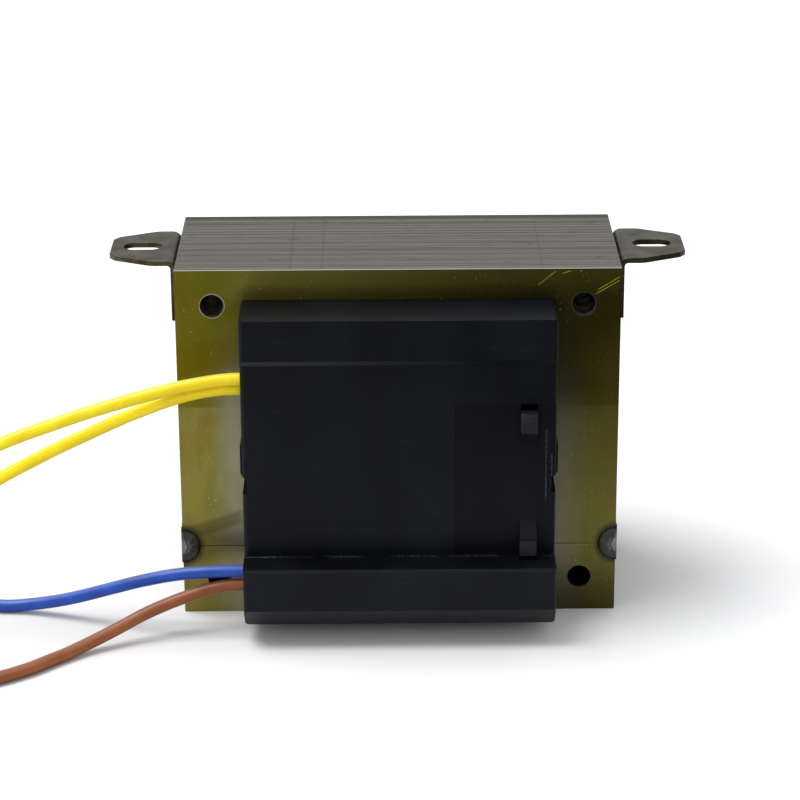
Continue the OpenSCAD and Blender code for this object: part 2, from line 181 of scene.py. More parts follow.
def smooth_route(route: np.ndarray, steps: int) -> np.ndarray:
    """Points of the smooth curve through a route.

    Each stretch is the cubic that starts and ends on two neighbouring route points, with a slope
    at each of half the way from the point before to the point after.

    Args:
        route: one row of x, y, z for each route point.
        steps: how many points each stretch gets.

    Returns:
        One row of x, y, z for each point of the curve.
    """
    before = np.vstack([2 * route[:1] - route[1:2], route, 2 * route[-1:] - route[-2:-1]])
    slope = (before[2:] - before[:-2]) / 2
    t = (np.arange(steps) / steps)[None, :, None]
    start = route[:-1, None]
    end = route[1:, None]
    curve = (
        (2 * t**3 - 3 * t**2 + 1) * start
        + (t**3 - 2 * t**2 + t) * slope[:-1, None]
        + (3 * t**2 - 2 * t**3) * end
        + (t**3 - t**2) * slope[1:, None]
    )
    return np.vstack([curve.reshape(-1, 3), route[-1:]])


def tube(name: str, line: np.ndarray, radii: np.ndarray, sides: int) -> bpy.types.Object:
    """A closed tube along a line that never runs straight up.

    A ring's point is the line's point plus the ring's radius times the cosine of the turn along
    the level direction across the line, plus the sine along the direction square to both. The
    map's u is the way along the line in metres and its v is the share of the turn.

    Args:
        name: the piece's name.
        line: one row of x, y, z for each ring.
        radii: each ring's radius.
        sides: how many points a ring has.

    Returns:
        The tube, with its ends closed.
    """
    along = unit(np.gradient(line, axis=0))
    level = unit(np.cross(along, UP))
    rise = np.cross(level, along)
    turn = ring_turns(sides)
    out = np.cos(turn)[None, :, None] * level[:, None] + np.sin(turn)[None, :, None] * rise[:, None]
    rings = line[:, None] + radii[:, None, None] * out
    count = len(line)
    piece = make_piece(name, rings.reshape(-1, 3), capped_tube_faces(count, sides), TUBE_SHARP)
    face_outwards(piece)
    way = np.concatenate([[0], np.cumsum(np.linalg.norm(np.diff(line, axis=0), axis=1))])
    map_surface(piece, np.repeat(way, sides), np.tile(np.arange(sides) / sides, count))
    return piece


def map_surface(piece: bpy.types.Object, u: np.ndarray, v: np.ndarray) -> None:
    """Gives the piece a map, u and v being one number for each point of its mesh."""
    mesh = piece.data
    corners = np.empty(len(mesh.loops), np.int32)
    mesh.loops.foreach_get("vertex_index", corners)
    layer = mesh.uv_layers.new(name="surface")
    layer.data.foreach_set("uv", np.stack([u[corners], v[corners]], axis=1).ravel())


def face_outwards(piece: bpy.types.Object) -> None:
    """Turns a closed mesh inside out where its volume, summed from its faces, is negative.

    The volume is a sixth of the sum over the triangles of the first corner times the cross
    product of the other two.
    """
    mesh = piece.data
    mesh.calc_loop_triangles()
    corners = np.empty(len(mesh.loop_triangles) * 3, np.int32)
    mesh.loop_triangles.foreach_get("vertices", corners)
    points = np.empty(len(mesh.vertices) * 3)
    mesh.vertices.foreach_get("co", points)
    a, b, c = points.reshape(-1, 3)[corners.reshape(-1, 3)].transpose(1, 0, 2)
    if np.sum(a * np.cross(b, c)) < 0:
        mesh.flip_normals()


def baked(piece: bpy.types.Object, name: str) -> bpy.types.Mesh:
    """The mesh that the piece's modifiers give, which then stands in for its old one.

    Args:
        piece: the object, whose modifiers are taken off.
        name: the new mesh's name.

    Returns:
        The new mesh.
    """
    bpy.context.view_layer.update()
    solid = piece.evaluated_get(bpy.context.evaluated_depsgraph_get())
    mesh = bpy.data.meshes.new_from_object(solid)
    mesh.name = name
    piece.modifiers.clear()
    piece.data = mesh
    return mesh


@dataclass(frozen=True)
class Rounding:
    """How a CAD node's copy gets rounded edges. Lengths are in metres and angles in degrees."""

    radius: float
    strips: int = 3
    merge: float = 0.002 * MM
    flat: float = 0.5
    corner: float = 28
    sharp: float = 40
    face_weight: int = 100

    def copy(self, node: str, name: str) -> bpy.types.Object:
        """A copy of a CAD node with its edges rounded.

        The flat faces are joined first, then each edge gets a round in a few strips. The
        normals are weighted by face area at the end, so that flat faces shade flat right up to
        the rounds.

        Args:
            node: the CAD node.
            name: the copy's name.

        Returns:
            The copy, which stands for the node.
        """
        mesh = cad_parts[node].data.copy()
        mesh.name = name
        piece = bpy.data.objects.new(name, mesh)
        bpy.context.scene.collection.objects.link(piece)
        weld = piece.modifiers.new("join loose triangles", "WELD")
        weld.merge_threshold = self.merge
        flat = piece.modifiers.new("join flat triangles", "DECIMATE")
        flat.decimate_type = "DISSOLVE"
        flat.angle_limit = math.radians(self.flat)
        bevel = piece.modifiers.new("round edges", "BEVEL")
        bevel.width = self.radius
        bevel.segments = self.strips
        bevel.limit_method = "ANGLE"
        bevel.angle_limit = math.radians(self.corner)
        bevel.use_clamp_overlap = True
        smooth(baked(piece, name), self.sharp)
        level = piece.modifiers.new("keep flat faces flat", "WEIGHTED_NORMAL")
        level.mode = "FACE_AREA"
        level.weight = self.face_weight
        level.keep_sharp = True
        baked(piece, name)
        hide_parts(node)
        return piece


# --- Finishes -------------------------------------------------------------------------------


@dataclass(frozen=True)
class Layer:
    """A colour laid over others, and how much of what lies below it hides, 0 to 1."""

    colour: Colour
    share: float


@dataclass(frozen=True)
class Zone:
    """A soft zone: where it fades in along the width and along the height, in metres."""

    across: Span
    height: Span


class MixKind(Enum):
    """What a mix node mixes: its data type, then its two inputs and its output by number."""

    NUMBER = ("FLOAT", 2, 3, 0)
    VECTOR = ("VECTOR", 4, 5, 1)
    COLOUR = ("RGBA", 6, 7, 2)


class Finish:
    """A material's node tree, with a short method for each kind of node.

    The speck core is the share of a speck's radius that its mask fills.
    """

    speck_core: float = 0.4

    def __init__(self, name: str) -> None:
        """Starts a material with one principled shader and the object's own coordinates."""
        self.material = bpy.data.materials.new(name)
        self.material.use_nodes = True
        tree = self.material.node_tree
        self.nodes = tree.nodes
        self.links = tree.links
        self.shader = self.nodes["Principled BSDF"]
        texture_place = self.nodes.new("ShaderNodeTexCoord")
        self.place = texture_place.outputs["Object"]
        self.surface = texture_place.outputs["UV"]
        self.normal = self.nodes.new("ShaderNodeNewGeometry").outputs["Normal"]

    def feed(self, socket: Socket, value: Value) -> None:
        """Links an output to the socket, or writes a number, point or colour into it."""
        if isinstance(value, bpy.types.NodeSocket):
            self.links.new(value, socket)
        elif socket.type == "RGBA":
            socket.default_value = (*value[:3], 1.0)
        else:
            socket.default_value = value

    def math(self, operation: str, *values: Value) -> Socket:
        """The result of a maths node on one to three numbers or outputs."""
        node = self.nodes.new("ShaderNodeMath")
        node.operation = operation
        for socket, value in zip(node.inputs, values):
            self.feed(socket, value)
        return node.outputs[0]

    def total(self, *values: Value) -> Value:
        """The sum of several numbers or outputs."""
        result = values[0]
        for value in values[1:]:
            result = self.math("ADD", result, value)
        return result

    def product(self, *values: Value) -> Value:
        """The product of several numbers or outputs."""
        result = values[0]
        for value in values[1:]:
            result = self.math("MULTIPLY", result, value)
        return result

    def size(self, value: Value) -> Socket:
        """A number without its sign."""
        return self.math("ABSOLUTE", value)

    def gap(self, value: Value, other: Value) -> Socket:
        """How far two numbers are apart."""
        return self.size(self.math("SUBTRACT", value, other))

    def reach(self, x: Socket, z: Socket, middle: Span) -> Socket:
        """How far a place is from a middle line along Y, which is mirrored from side to side.

        It is the root of the sum of two squares: of the width's size less the middle's x, and
        of the height less the middle's z.
        """
        middle_x, middle_z = middle
        across = self.math("SUBTRACT", self.size(x), middle_x)
        above = self.math("SUBTRACT", z, middle_z)
        return self.math("SQRT", self.total(self.product(across, across), self.product(above, above)))

    def sway(self, value: Socket, base: float, change: float) -> Socket:
        """The base plus the change times a value from 0 to 1."""
        return self.total(base, self.product(value, change))

    def split(self, vector: Socket) -> tuple[Socket, ...]:
        """The x, y and z of a vector."""
        node = self.nodes.new("ShaderNodeSeparateXYZ")
        self.links.new(vector, node.inputs[0])
        return tuple(node.outputs)

    def join(self, x: Value, y: Value, z: Value) -> Socket:
        """A vector of three numbers or outputs."""
        node = self.nodes.new("ShaderNodeCombineXYZ")
        for socket, value in zip(node.inputs, (x, y, z)):
            self.feed(socket, value)
        return node.outputs[0]

    def stretch(self, vector: Socket, scale: Scale) -> Socket:
        """A vector times a scale along each axis."""
        node = self.nodes.new("ShaderNodeMapping")
        self.links.new(vector, node.inputs["Vector"])
        node.inputs["Scale"].default_value = scale
        return node.outputs[0]

    def noise(self, vector: Socket, size: float, detail: float) -> Socket:
        """Soft noise, 0 to 1, whose blobs are about as wide as the size in metres."""
        node = self.nodes.new("ShaderNodeTexNoise")
        self.links.new(vector, node.inputs["Vector"])
        node.inputs["Scale"].default_value = 1 / size
        node.inputs["Detail"].default_value = detail
        return node.outputs[0]

    def white(self, value: Socket) -> Socket:
        """A steady random number, 0 to 1, for each value."""
        node = self.nodes.new("ShaderNodeTexWhiteNoise")
        node.noise_dimensions = "1D"
        self.links.new(value, node.inputs["W"])
        return node.outputs["Value"]

    def specks(self, vector: Socket, size: float, radius: float, share: float) -> Socket:
        """A mask of scattered round specks.

        Space is cut into cells as wide as the size, the cells whose random number is below the
        share get a speck, and the mask falls from 1 to 0 between the speck's core and its radius.
        """
        node = self.nodes.new("ShaderNodeTexVoronoi")
        self.links.new(vector, node.inputs["Vector"])
        node.inputs["Scale"].default_value = 1 / size
        disc = self.step(node.outputs["Distance"], radius / size, self.speck_core * radius / size)
        chosen = self.split(node.outputs["Color"])[0]
        return self.product(disc, self.math("LESS_THAN", chosen, share))

    def step(self, value: Value, start: float, end: float) -> Socket:
        """A smooth rise from 0 at the start to 1 at the end, which may be the lower number."""
        node = self.nodes.new("ShaderNodeMapRange")
        node.interpolation_type = "SMOOTHSTEP"
        self.feed(node.inputs["Value"], value)
        node.inputs["From Min"].default_value = min(start, end)
        node.inputs["From Max"].default_value = max(start, end)
        node.inputs["To Min"].default_value = 0.0 if start < end else 1.0
        node.inputs["To Max"].default_value = 1.0 if start < end else 0.0
        return node.outputs[0]

    def within(self, x: Value, z: Value, zone: Zone) -> Socket:
        """A soft zone's mask, 0 to 1."""
        return self.product(self.step(x, *zone.across), self.step(z, *zone.height))

    def mix(self, kind: MixKind, share: Value, first: Value, second: Value) -> Socket:
        """The first value where the share is 0 and the second where it is 1."""
        data_type, first_input, second_input, output = kind.value
        node = self.nodes.new("ShaderNodeMix")
        node.data_type = data_type
        self.feed(node.inputs[0], share)
        self.feed(node.inputs[first_input], first)
        self.feed(node.inputs[second_input], second)
        return node.outputs[output]

    def blend(self, share: Value, first: Value, second: Value) -> Socket:
        """The first colour where the share is 0 and the second where it is 1."""
        return self.mix(MixKind.COLOUR, share, first, second)

    def lay(self, mask: Socket, layer: Layer, under: Value) -> Socket:
        """A layer over a colour, where the mask is 1."""
        return self.blend(self.product(mask, layer.share), under, layer.colour)

    def relief(self, height: Socket, depth: float, under: Optional[Socket] = None) -> Socket:
        """A bumpy normal: the height, 0 to 1, times the depth in metres."""
        node = self.nodes.new("ShaderNodeBump")
        node.inputs["Distance"].default_value = depth
        self.links.new(height, node.inputs["Height"])
        if under is not None:
            self.links.new(under, node.inputs["Normal"])
        return node.outputs[0]

    def finish(self, **sockets: Value) -> bpy.types.Material:
        """Feeds the shader's sockets, named with underscores for spaces, and gives the material."""
        for name, value in sockets.items():
            self.feed(self.shader.inputs[name.replace("_", " ")], value)
        return self.material


def faded(colour: Colour, share: float) -> Colour:
    """A colour whose three channels are each multiplied by the share."""
    return tuple(share * channel for channel in colour)


SCORCHED = shade(50, 44, 36)
BARE_STEEL = shade(186, 184, 166)
DEEP_OLIVE = shade(30, 27, 10)
PALE_OLIVE = shade(128, 119, 55)
OLIVE = shade(108, 102, 20)
BROWN_STAIN = shade(72, 62, 46)
DUST = shade(214, 210, 176)
# The pale colour of the leads' painted highlight on top.
PALE_HIGHLIGHT = shade(228, 232, 238)


@dataclass(frozen=True)
class PlateFace:
    """The rolled face of an outermost plate, under a thin yellow varnish.

    The varnish is pale olive below a level line and darker olive above it: a painted reflection of a
    horizon, bright below the line and dark above.
    Places are in metres. A rise says where a mask starts and where it is full.
    """

    weld: Span
    scratches: tuple[Scratch, ...]
    clouds: Blobs = (4.5 * MM, 4)
    # The level line is a painted reflection: the face is painted paler below it than above.
    reflection_line_rise: Span = (48.45 * MM, 48.95 * MM)
    reflection_line_wander: float = 0.5 * MM
    mottle: Layer = Layer(shade(128, 96, 22), 0.26)
    mottle_parts: Span = (0.6, 0.4)
    mottle_rise: Span = (0.5, 0.68)
    rolled: Layer = Layer(faded(OLIVE, 0.5), 0.22)
    rolled_noise: Blobs = (3 * MM, 3)
    rolled_stretch: Scale = (1, 1, 0.3)
    rolled_rise: Span = (0.35, 0.75)
    haze: Layer = Layer(shade(146, 146, 128), 0.75)
    haze_zone: Zone = Zone((44 * MM, 35 * MM), (70.7 * MM, 46.7 * MM))
    haze_wander: float = 3 * MM
    # Painted light: the plate face over the cover is made paler, standing in for a brighter reflection there.
    over_cover_light: Layer = Layer(PALE_OLIVE, 0.8)
    over_cover_light_zone: Zone = Zone((40 * MM, 32 * MM), (71 * MM, 75 * MM))
    pits: Layer = Layer(SCORCHED, 0.6)
    pit_specks: Specks = (2.6 * MM, 0.16 * MM, 0.25)
    pit_stretch: Scale = (1.1, 1.1, 0.8)
    hole: Span = (40 * MM, 72 * MM)
    hole_ring: Layer = Layer(BARE_STEEL, 0.55)
    hole_rise: Span = (3.1 * MM, 2.94 * MM)
    hole_wander: float = 0.5 * MM
    joint: Layer = Layer(SCORCHED, 0.9)
    joint_rise: Span = (0.15 * MM, 0.07 * MM)
    joint_lip: Layer = Layer(BARE_STEEL, 0.3)
    joint_lip_drop: float = 0.22 * MM
    joint_lip_rise: Span = (0.16 * MM, 0.06 * MM)
    joint_lip_breaks: Span = (0.35, 0.6)
    # The run layer is a painted shadow of the yellow leads on the left limb.
    run: Layer = Layer(DEEP_OLIVE, 0.4)
    lead_shadow_start: Span = (-48 * MM, 18.6 * MM)
    lead_shadow_slope: float = 0.32
    lead_shadow_rise: Span = (2.3 * MM, 0.9 * MM)
    lead_shadow_end: Span = (-33 * MM, -36 * MM)
    # Painted shade: the face darkens more and more towards the right, and more above the middle, standing in
    # for darker reflections there.
    painted_shade_across: Span = (-50 * MM, 42 * MM)
    painted_shade_upward: Span = (42.7 * MM, 54.7 * MM)
    painted_shade_shares: Span = (0.55, 0.3)
    rim: Layer = Layer(PALE_OLIVE, 0.13)
    rim_rise: Span = (73 * MM, 79 * MM)
    # Painted shade on the plate face just above the cover's top.
    shade_over_cover: Layer = Layer(DEEP_OLIVE, 0.5)
    shade_over_cover_zone: Zone = Zone((37 * MM, 32 * MM), (77.4 * MM, 74.4 * MM))
    shade_over_cover_foot: Span = (70 * MM, 72 * MM)
    outer: Layer = Layer(PALE_OLIVE, 0.14)
    outer_zone: Zone = Zone((35 * MM, 47 * MM), (72 * MM, 56 * MM))
    dust: Layer = Layer(DUST, 0.62)
    drifts: Blobs = (6 * MM, 2)
    drift_rise: Span = (0.42, 0.62)
    small_specks: Specks = (0.6 * MM, 0.09 * MM, 0.4)
    large_specks: Specks = (1.5 * MM, 0.16 * MM, 0.35)
    scratch: Layer = Layer(shade(226, 208, 70), 0.62)
    scratch_rise: Span = (0.14 * MM, 0.05 * MM)
    scratch_taper: float = 0.75
    scratch_breaks: Span = (0.3, 0.5)
    # Painted shade: the lower right of the face is darkened, standing in for the shaded floor it reflects.
    foot: Layer = Layer(DEEP_OLIVE, 0.6)
    lower_right_shade_zone: Zone = Zone((0.0, 36 * MM), (16 * MM, 2 * MM))
    scorch: Layer = Layer(SCORCHED, 0.85)

    def colour(self, f: Finish, x: Socket, z: Socket, patchy: Socket, fine: Socket, heated: Socket) -> Socket:
        """The face's colour: the varnish and its marks, laid on top of one another.

        Args:
            f: the finish being built.
            x: the place along the core's width.
            z: the height.
            patchy: coarse noise.
            fine: fine noise.
            heated: the scorch round the welds, 0 to 1.

        Returns:
            The colour.
        """
        clouds = f.noise(f.place, *self.clouds)
        side = f.size(x)
        face = self.varnish(f, side, z, patchy, clouds)
        face = f.lay(f.specks(f.stretch(f.place, self.pit_stretch), *self.pit_specks), self.pits, face)
        worn = f.total(f.reach(x, z, self.hole), f.product(clouds, self.hole_wander))
        face = f.lay(f.step(worn, *self.hole_rise), self.hole_ring, face)
        face = self.joint_line(f, z, clouds, face)
        # Painted shadow of the yellow leads.
        face = f.lay(self.lead_shadow_mask(f, x, z), self.run, face)
        # Painted shade, growing towards the right and the top.
        painted_shade = f.sway(f.step(z, *self.painted_shade_upward), *self.painted_shade_shares)
        face = f.blend(f.product(f.step(x, *self.painted_shade_across), painted_shade), face, DEEP_OLIVE)
        rim = f.step(z, *self.rim_rise)
        face = f.lay(rim, self.rim, face)
        # Painted shade just above the cover.
        shade_over_cover = f.product(f.within(side, z, self.shade_over_cover_zone), f.step(z, *self.shade_over_cover_foot))
        face = f.lay(shade_over_cover, self.shade_over_cover, face)
        face = f.lay(f.within(x, z, self.outer_zone), self.outer, face)
        face = f.lay(self.dust_mask(f, rim), self.dust, face)
        face = f.lay(self.scratch_mask(f, x, z, fine), self.scratch, face)
        # Painted shade at the lower right.
        face = f.lay(f.within(x, z, self.lower_right_shade_zone), self.foot, face)
        return f.lay(heated, self.scorch, face)

    def varnish(self, f: Finish, side: Socket, z: Socket, patchy: Socket, clouds: Socket) -> Socket:
        """The varnish itself: two olive tones split at a painted reflection line, mottled, streaked, hazy
        beside the cover and painted paler just over it.

        Args:
            f: the finish being built.
            side: the place along the width, without its sign.
            z: the height.
            patchy: coarse noise.
            clouds: middling noise.

        Returns:
            The colour.
        """
        # Painted reflection: the face is paler below the level line and darker above it.
        line = f.total(z, f.product(f.math("SUBTRACT", clouds, 0.5), self.reflection_line_wander))
        face = f.blend(f.step(line, *self.reflection_line_rise), PALE_OLIVE, OLIVE)
        coarse_part, cloud_part = self.mottle_parts
        mottled = f.total(f.product(patchy, coarse_part), f.product(clouds, cloud_part))
        face = f.lay(f.step(mottled, *self.mottle_rise), self.mottle, face)
        rolled = f.noise(f.stretch(f.place, self.rolled_stretch), *self.rolled_noise)
        face = f.lay(f.step(rolled, *self.rolled_rise), self.rolled, face)
        ragged_side = f.total(side, f.product(clouds, self.haze_wander))
        face = f.lay(f.within(ragged_side, z, self.haze_zone), self.haze, face)
        # Painted light on the face over the cover.
        return f.lay(f.within(side, z, self.over_cover_light_zone), self.over_cover_light, face)

    def joint_line(self, f: Finish, z: Socket, clouds: Socket, face: Socket) -> Socket:
        """The butt joint of the two kinds of plate: a hair-thin dark line over a pale one.

        Args:
            f: the finish being built.
            z: the height.
            clouds: noise that breaks the pale line.
            face: the colour so far.

        Returns:
            The colour with the joint.
        """
        joint_z = self.weld[1]
        lip = f.step(f.gap(z, joint_z - self.joint_lip_drop), *self.joint_lip_rise)
        face = f.lay(f.product(lip, f.step(clouds, *self.joint_lip_breaks)), self.joint_lip, face)
        return f.lay(f.step(f.gap(z, joint_z), *self.joint_rise), self.joint, face)

    def lead_shadow_mask(self, f: Finish, x: Socket, z: Socket) -> Socket:
        """A painted shadow of the yellow leads: a straight slanting band from the left edge to beside the
        cover.
        """
        start_x, start_z = self.lead_shadow_start
        rise = f.product(f.math("SUBTRACT", x, start_x), self.lead_shadow_slope)
        off = f.gap(f.math("SUBTRACT", z, start_z), rise)
        return f.product(f.step(off, *self.lead_shadow_rise), f.step(x, *self.lead_shadow_end))

    def dust_mask(self, f: Finish, rim: Socket) -> Socket:
        """Dust specks of two sizes, in drifts and all along the upper rim."""
        drift = f.step(f.noise(f.place, *self.drifts), *self.drift_rise)
        small = f.specks(f.place, *self.small_specks)
        large = f.specks(f.place, *self.large_specks)
        return f.product(f.math("MAXIMUM", small, large), f.math("MAXIMUM", drift, rim))

    def scratch_mask(self, f: Finish, x: Socket, z: Socket, fine: Socket) -> Socket:
        """Thin bright scratches, each straight from one point to another.

        A point is on a scratch where its height is close to the line through the two ends and
        it lies between them. The scratch fades over the last quarter of each half.

        Args:
            f: the finish being built.
            x: the place along the core's width.
            z: the height.
            fine: fine noise that breaks the lines a little.

        Returns:
            The mask, 0 to 1.
        """
        mask = 0.0
        for start_x, start_z, end_x, end_z in self.scratches:
            slope = (end_z - start_z) / (end_x - start_x)
            half = (end_x - start_x) / 2
            run = f.math("SUBTRACT", x, start_x)
            line = f.step(f.gap(f.math("SUBTRACT", z, start_z), f.product(run, slope)), *self.scratch_rise)
            ends = f.step(f.gap(run, half), half, half * self.scratch_taper)
            mask = f.math("MAXIMUM", mask, f.product(line, ends, f.step(fine, *self.scratch_breaks)))
        return mask


@dataclass(frozen=True)
class CutEdge:
    """The cut edges of the whole stack, each plate a little lighter or darker than the next.

    Places are in metres. A rise says where a mask starts and where it is full.
    """

    front: float
    back: float
    plate: float
    light: Colour = shade(130, 127, 119)
    dark: Colour = shade(76, 73, 67)
    tone_parts: Span = (0.22, 0.95)
    tone_rise: Span = (0.3, 0.95)
    joint: Layer = Layer(SCORCHED, 0.3)
    joint_rise: Span = (0.34, 0.5)
    blot: Layer = Layer(BROWN_STAIN, 0.4)
    blot_noise: Blobs = (6 * MM, 4)
    blot_stretch: Scale = (1, 1.8, 1)
    blot_rise: Span = (0.62, 0.7)
    tick: Layer = Layer(SCORCHED, 0.6)
    tick_specks: Specks = (2.4 * MM, 0.22 * MM, 0.2)
    tick_stretch: Scale = (0.6, 1.6, 1)
    rub: Layer = Layer(SCORCHED, 0.3)
    rubs: tuple[Span, ...] = ((-23.1 * MM, 0.5 * MM), (-16.3 * MM, 0.4 * MM), (31 * MM, 0.3 * MM))
    rub_core: float = 0.3
    rub_breaks: Span = (0.35, 0.6)
    mote: Layer = Layer(DUST, 0.7)
    mote_specks: Specks = (1.7 * MM, 0.12 * MM, 0.22)
    # A painted highlight along the front edge of the first plates.
    burr_highlight: Layer = Layer(shade(206, 206, 200), 0.8)
    burr_highlight_rise: Span = (0.6 * MM, 0.3 * MM)
    stain: Layer = Layer(BROWN_STAIN, 0.92)
    stain_rise: Span = (-3.8 * MM, -1.8 * MM)
    scorch: Layer = Layer(SCORCHED, 0.9)

    def colour(self, f: Finish, x: Socket, y: Socket, streak: Socket, tone: Socket, heated: Socket) -> Socket:
        """The edges' colour: a tone for each plate, draw lines, dark joints and stains.

        The joint of two plates is where the share of the plate's thickness is near 0 or 1. The
        first plates' edges carry a painted highlight along the front, and the last ones are stained brown.

        Args:
            f: the finish being built.
            x: the place along the core's width.
            y: the place through the stack.
            streak: noise drawn out along the plates.
            tone: each plate's own random number.
            heated: the scorch round the welds, 0 to 1.

        Returns:
            The colour.
        """
        tone_part, streak_part = self.tone_parts
        mixed = f.total(f.product(tone, tone_part), f.product(streak, streak_part))
        edge = f.blend(f.step(mixed, *self.tone_rise), self.dark, self.light)
        share = f.math("FRACT", f.math("DIVIDE", f.math("SUBTRACT", y, self.front), self.plate))
        edge = f.lay(f.step(f.gap(share, 0.5), *self.joint_rise), self.joint, edge)
        blots = f.noise(f.stretch(f.place, self.blot_stretch), *self.blot_noise)
        edge = f.lay(f.step(blots, *self.blot_rise), self.blot, edge)
        edge = f.lay(f.specks(f.stretch(f.place, self.tick_stretch), *self.tick_specks), self.tick, edge)
        for place, width in self.rubs:
            mark_mask = f.step(f.gap(x, place), width, width * self.rub_core)
            edge = f.lay(f.product(mark_mask, f.step(streak, *self.rub_breaks)), self.rub, edge)
        edge = f.lay(f.specks(f.place, *self.mote_specks), self.mote, edge)
        # Painted highlight along the front edge.
        burr_highlight_start, burr_highlight_end = self.burr_highlight_rise
        edge = f.lay(f.step(y, self.front + burr_highlight_start, self.front + burr_highlight_end), self.burr_highlight, edge)
        stain_start, stain_end = self.stain_rise
        edge = f.lay(f.step(y, self.back + stain_start, self.back + stain_end), self.stain, edge)
        return f.lay(heated, self.scorch, edge)


@dataclass(frozen=True)
class LaminationFinish:
    """Varnished electrical steel: hazy plate faces in front and behind, dull cut edges elsewhere.

    A sway is a value and what a noise adds to it.
    """

    face: PlateFace
    edge: CutEdge
    name: str = "lamination_steel"
    face_rise: Span = (0.6, 0.8)
    patches: Blobs = (9 * MM, 3)
    fine: Blobs = (0.5 * MM, 3)
    drawn: Blobs = (0.9 * MM, 2)
    drawn_stretch: Scale = (0.05, 9, 0.05)
    grain: Blobs = (0.26 * MM, 3)
    streak_parts: Span = (0.66, 0.34)
    waves: Blobs = (26 * MM, 1)
    wave_depth: float = 0.05 * MM
    fine_depth: float = 0.0012 * MM
    edge_depth: float = 0.03 * MM
    plate_step: float = 0.5
    scorch_rise: Span = (6.6 * MM, 5 * MM)
    scorch_wander: Span = (1.6 * MM, 0.8 * MM)
    face_rough: Span = (0.24, 0.12)
    scorch_rough: float = 0.15
    edge_rough: Span = (0.38, 0.2)
    face_metal: float = 0.5
    scorch_metal: float = 0.4
    edge_metal: float = 0.6
    gloss: float = 0.2

    def material(self) -> bpy.types.Material:
        """Builds the material.

        Returns:
            The varnished face where the surface looks along Y and cut edges elsewhere.
        """
        f = Finish(self.name)
        x, y, z = f.split(f.place)
        is_face = f.step(f.size(f.split(f.normal)[1]), *self.face_rise)
        patchy = f.noise(f.place, *self.patches)
        fine = f.noise(f.place, *self.fine)
        heated = self.near_weld(f, x, z, patchy, fine)
        drawn_part, grain_part = self.streak_parts
        drawn = f.noise(f.stretch(f.place, self.drawn_stretch), *self.drawn)
        streak = f.total(f.product(drawn, drawn_part), f.product(f.noise(f.place, *self.grain), grain_part))
        number = f.math("FLOOR", f.math("DIVIDE", f.math("SUBTRACT", y, self.edge.front), self.edge.plate))
        tone = f.white(number)
        face = self.face.colour(f, x, z, patchy, fine, heated)
        edge = self.edge.colour(f, x, y, streak, tone, heated)
        waves = f.relief(f.noise(f.place, *self.waves), self.wave_depth)
        face_relief = f.relief(fine, self.fine_depth, waves)
        edge_relief = f.relief(f.total(streak, f.product(tone, self.plate_step)), self.edge_depth)
        face_rough = f.total(f.sway(patchy, *self.face_rough), f.product(heated, self.scorch_rough))
        face_metal = f.mix(MixKind.NUMBER, heated, self.face_metal, self.scorch_metal)
        return f.finish(
            Base_Color=f.blend(is_face, edge, face),
            Specular_IOR_Level=self.gloss,
            Metallic=f.mix(MixKind.NUMBER, is_face, self.edge_metal, face_metal),
            Roughness=f.mix(MixKind.NUMBER, is_face, f.sway(streak, *self.edge_rough), face_rough),
            Normal=f.mix(MixKind.VECTOR, is_face, edge_relief, face_relief),
        )

    def near_weld(self, f: Finish, x: Socket, z: Socket, patchy: Socket, fine: Socket) -> Socket:
        """The scorch round each weld.

        It is 1 near the weld's middle line and falls to 0 just outside the weld, with a ragged
        edge from two noises.

        Args:
            f: the finish being built.
            x: the place along the core's width.
            z: the height.
            patchy: coarse noise.
            fine: fine noise.

        Returns:
            The scorch, 0 to 1.
        """
        coarse, small = self.scorch_wander
        away = f.reach(x, z, self.face.weld)
        ragged = f.total(away, f.product(patchy, coarse), f.product(fine, small))
        return f.step(ragged, *self.scorch_rise)


@dataclass(frozen=True)
class WeldFinish:
    """Weld metal: a pale blue-grey middle, a darker rim and a scorched skin along the seam."""

    weld: Span
    name: str = "weld"
    middle: Colour = shade(118, 126, 126)
    rim: Colour = shade(72, 70, 64)
    scorch: Colour = shade(34, 30, 26)
    clouds: Blobs = (1.2 * MM, 4)
    cloud_wander: float = 1.2 * MM
    rim_rise: Span = (1.4 * MM, 2.9 * MM)
    scorch_rise: Span = (3.8 * MM, 4.5 * MM)
    grain: Blobs = (0.2 * MM, 2)
    grain_rise: Span = (0.55, 0.75)
    grain_share: float = 0.35
    metal: float = 0.8
    rough: Span = (0.28, 0.25)
    grain_step: float = 0.3
    depth: float = 0.12 * MM

    def material(self) -> bpy.types.Material:
        """Builds the material: the colour follows the distance from the seam's middle line."""
        f = Finish(self.name)
        x, _, z = f.split(f.place)
        clouds = f.noise(f.place, *self.clouds)
        grain = f.noise(f.place, *self.grain)
        ragged = f.total(f.reach(x, z, self.weld), f.product(clouds, self.cloud_wander))
        tone = f.blend(f.step(ragged, *self.rim_rise), self.middle, self.rim)
        tone = f.blend(f.step(ragged, *self.scorch_rise), tone, self.scorch)
        tone = f.blend(f.product(f.step(grain, *self.grain_rise), self.grain_share), tone, self.rim)
        return f.finish(
            Base_Color=tone,
            Metallic=self.metal,
            Roughness=f.sway(clouds, *self.rough),
            Normal=f.relief(f.total(clouds, f.product(grain, self.grain_step)), self.depth),
        )


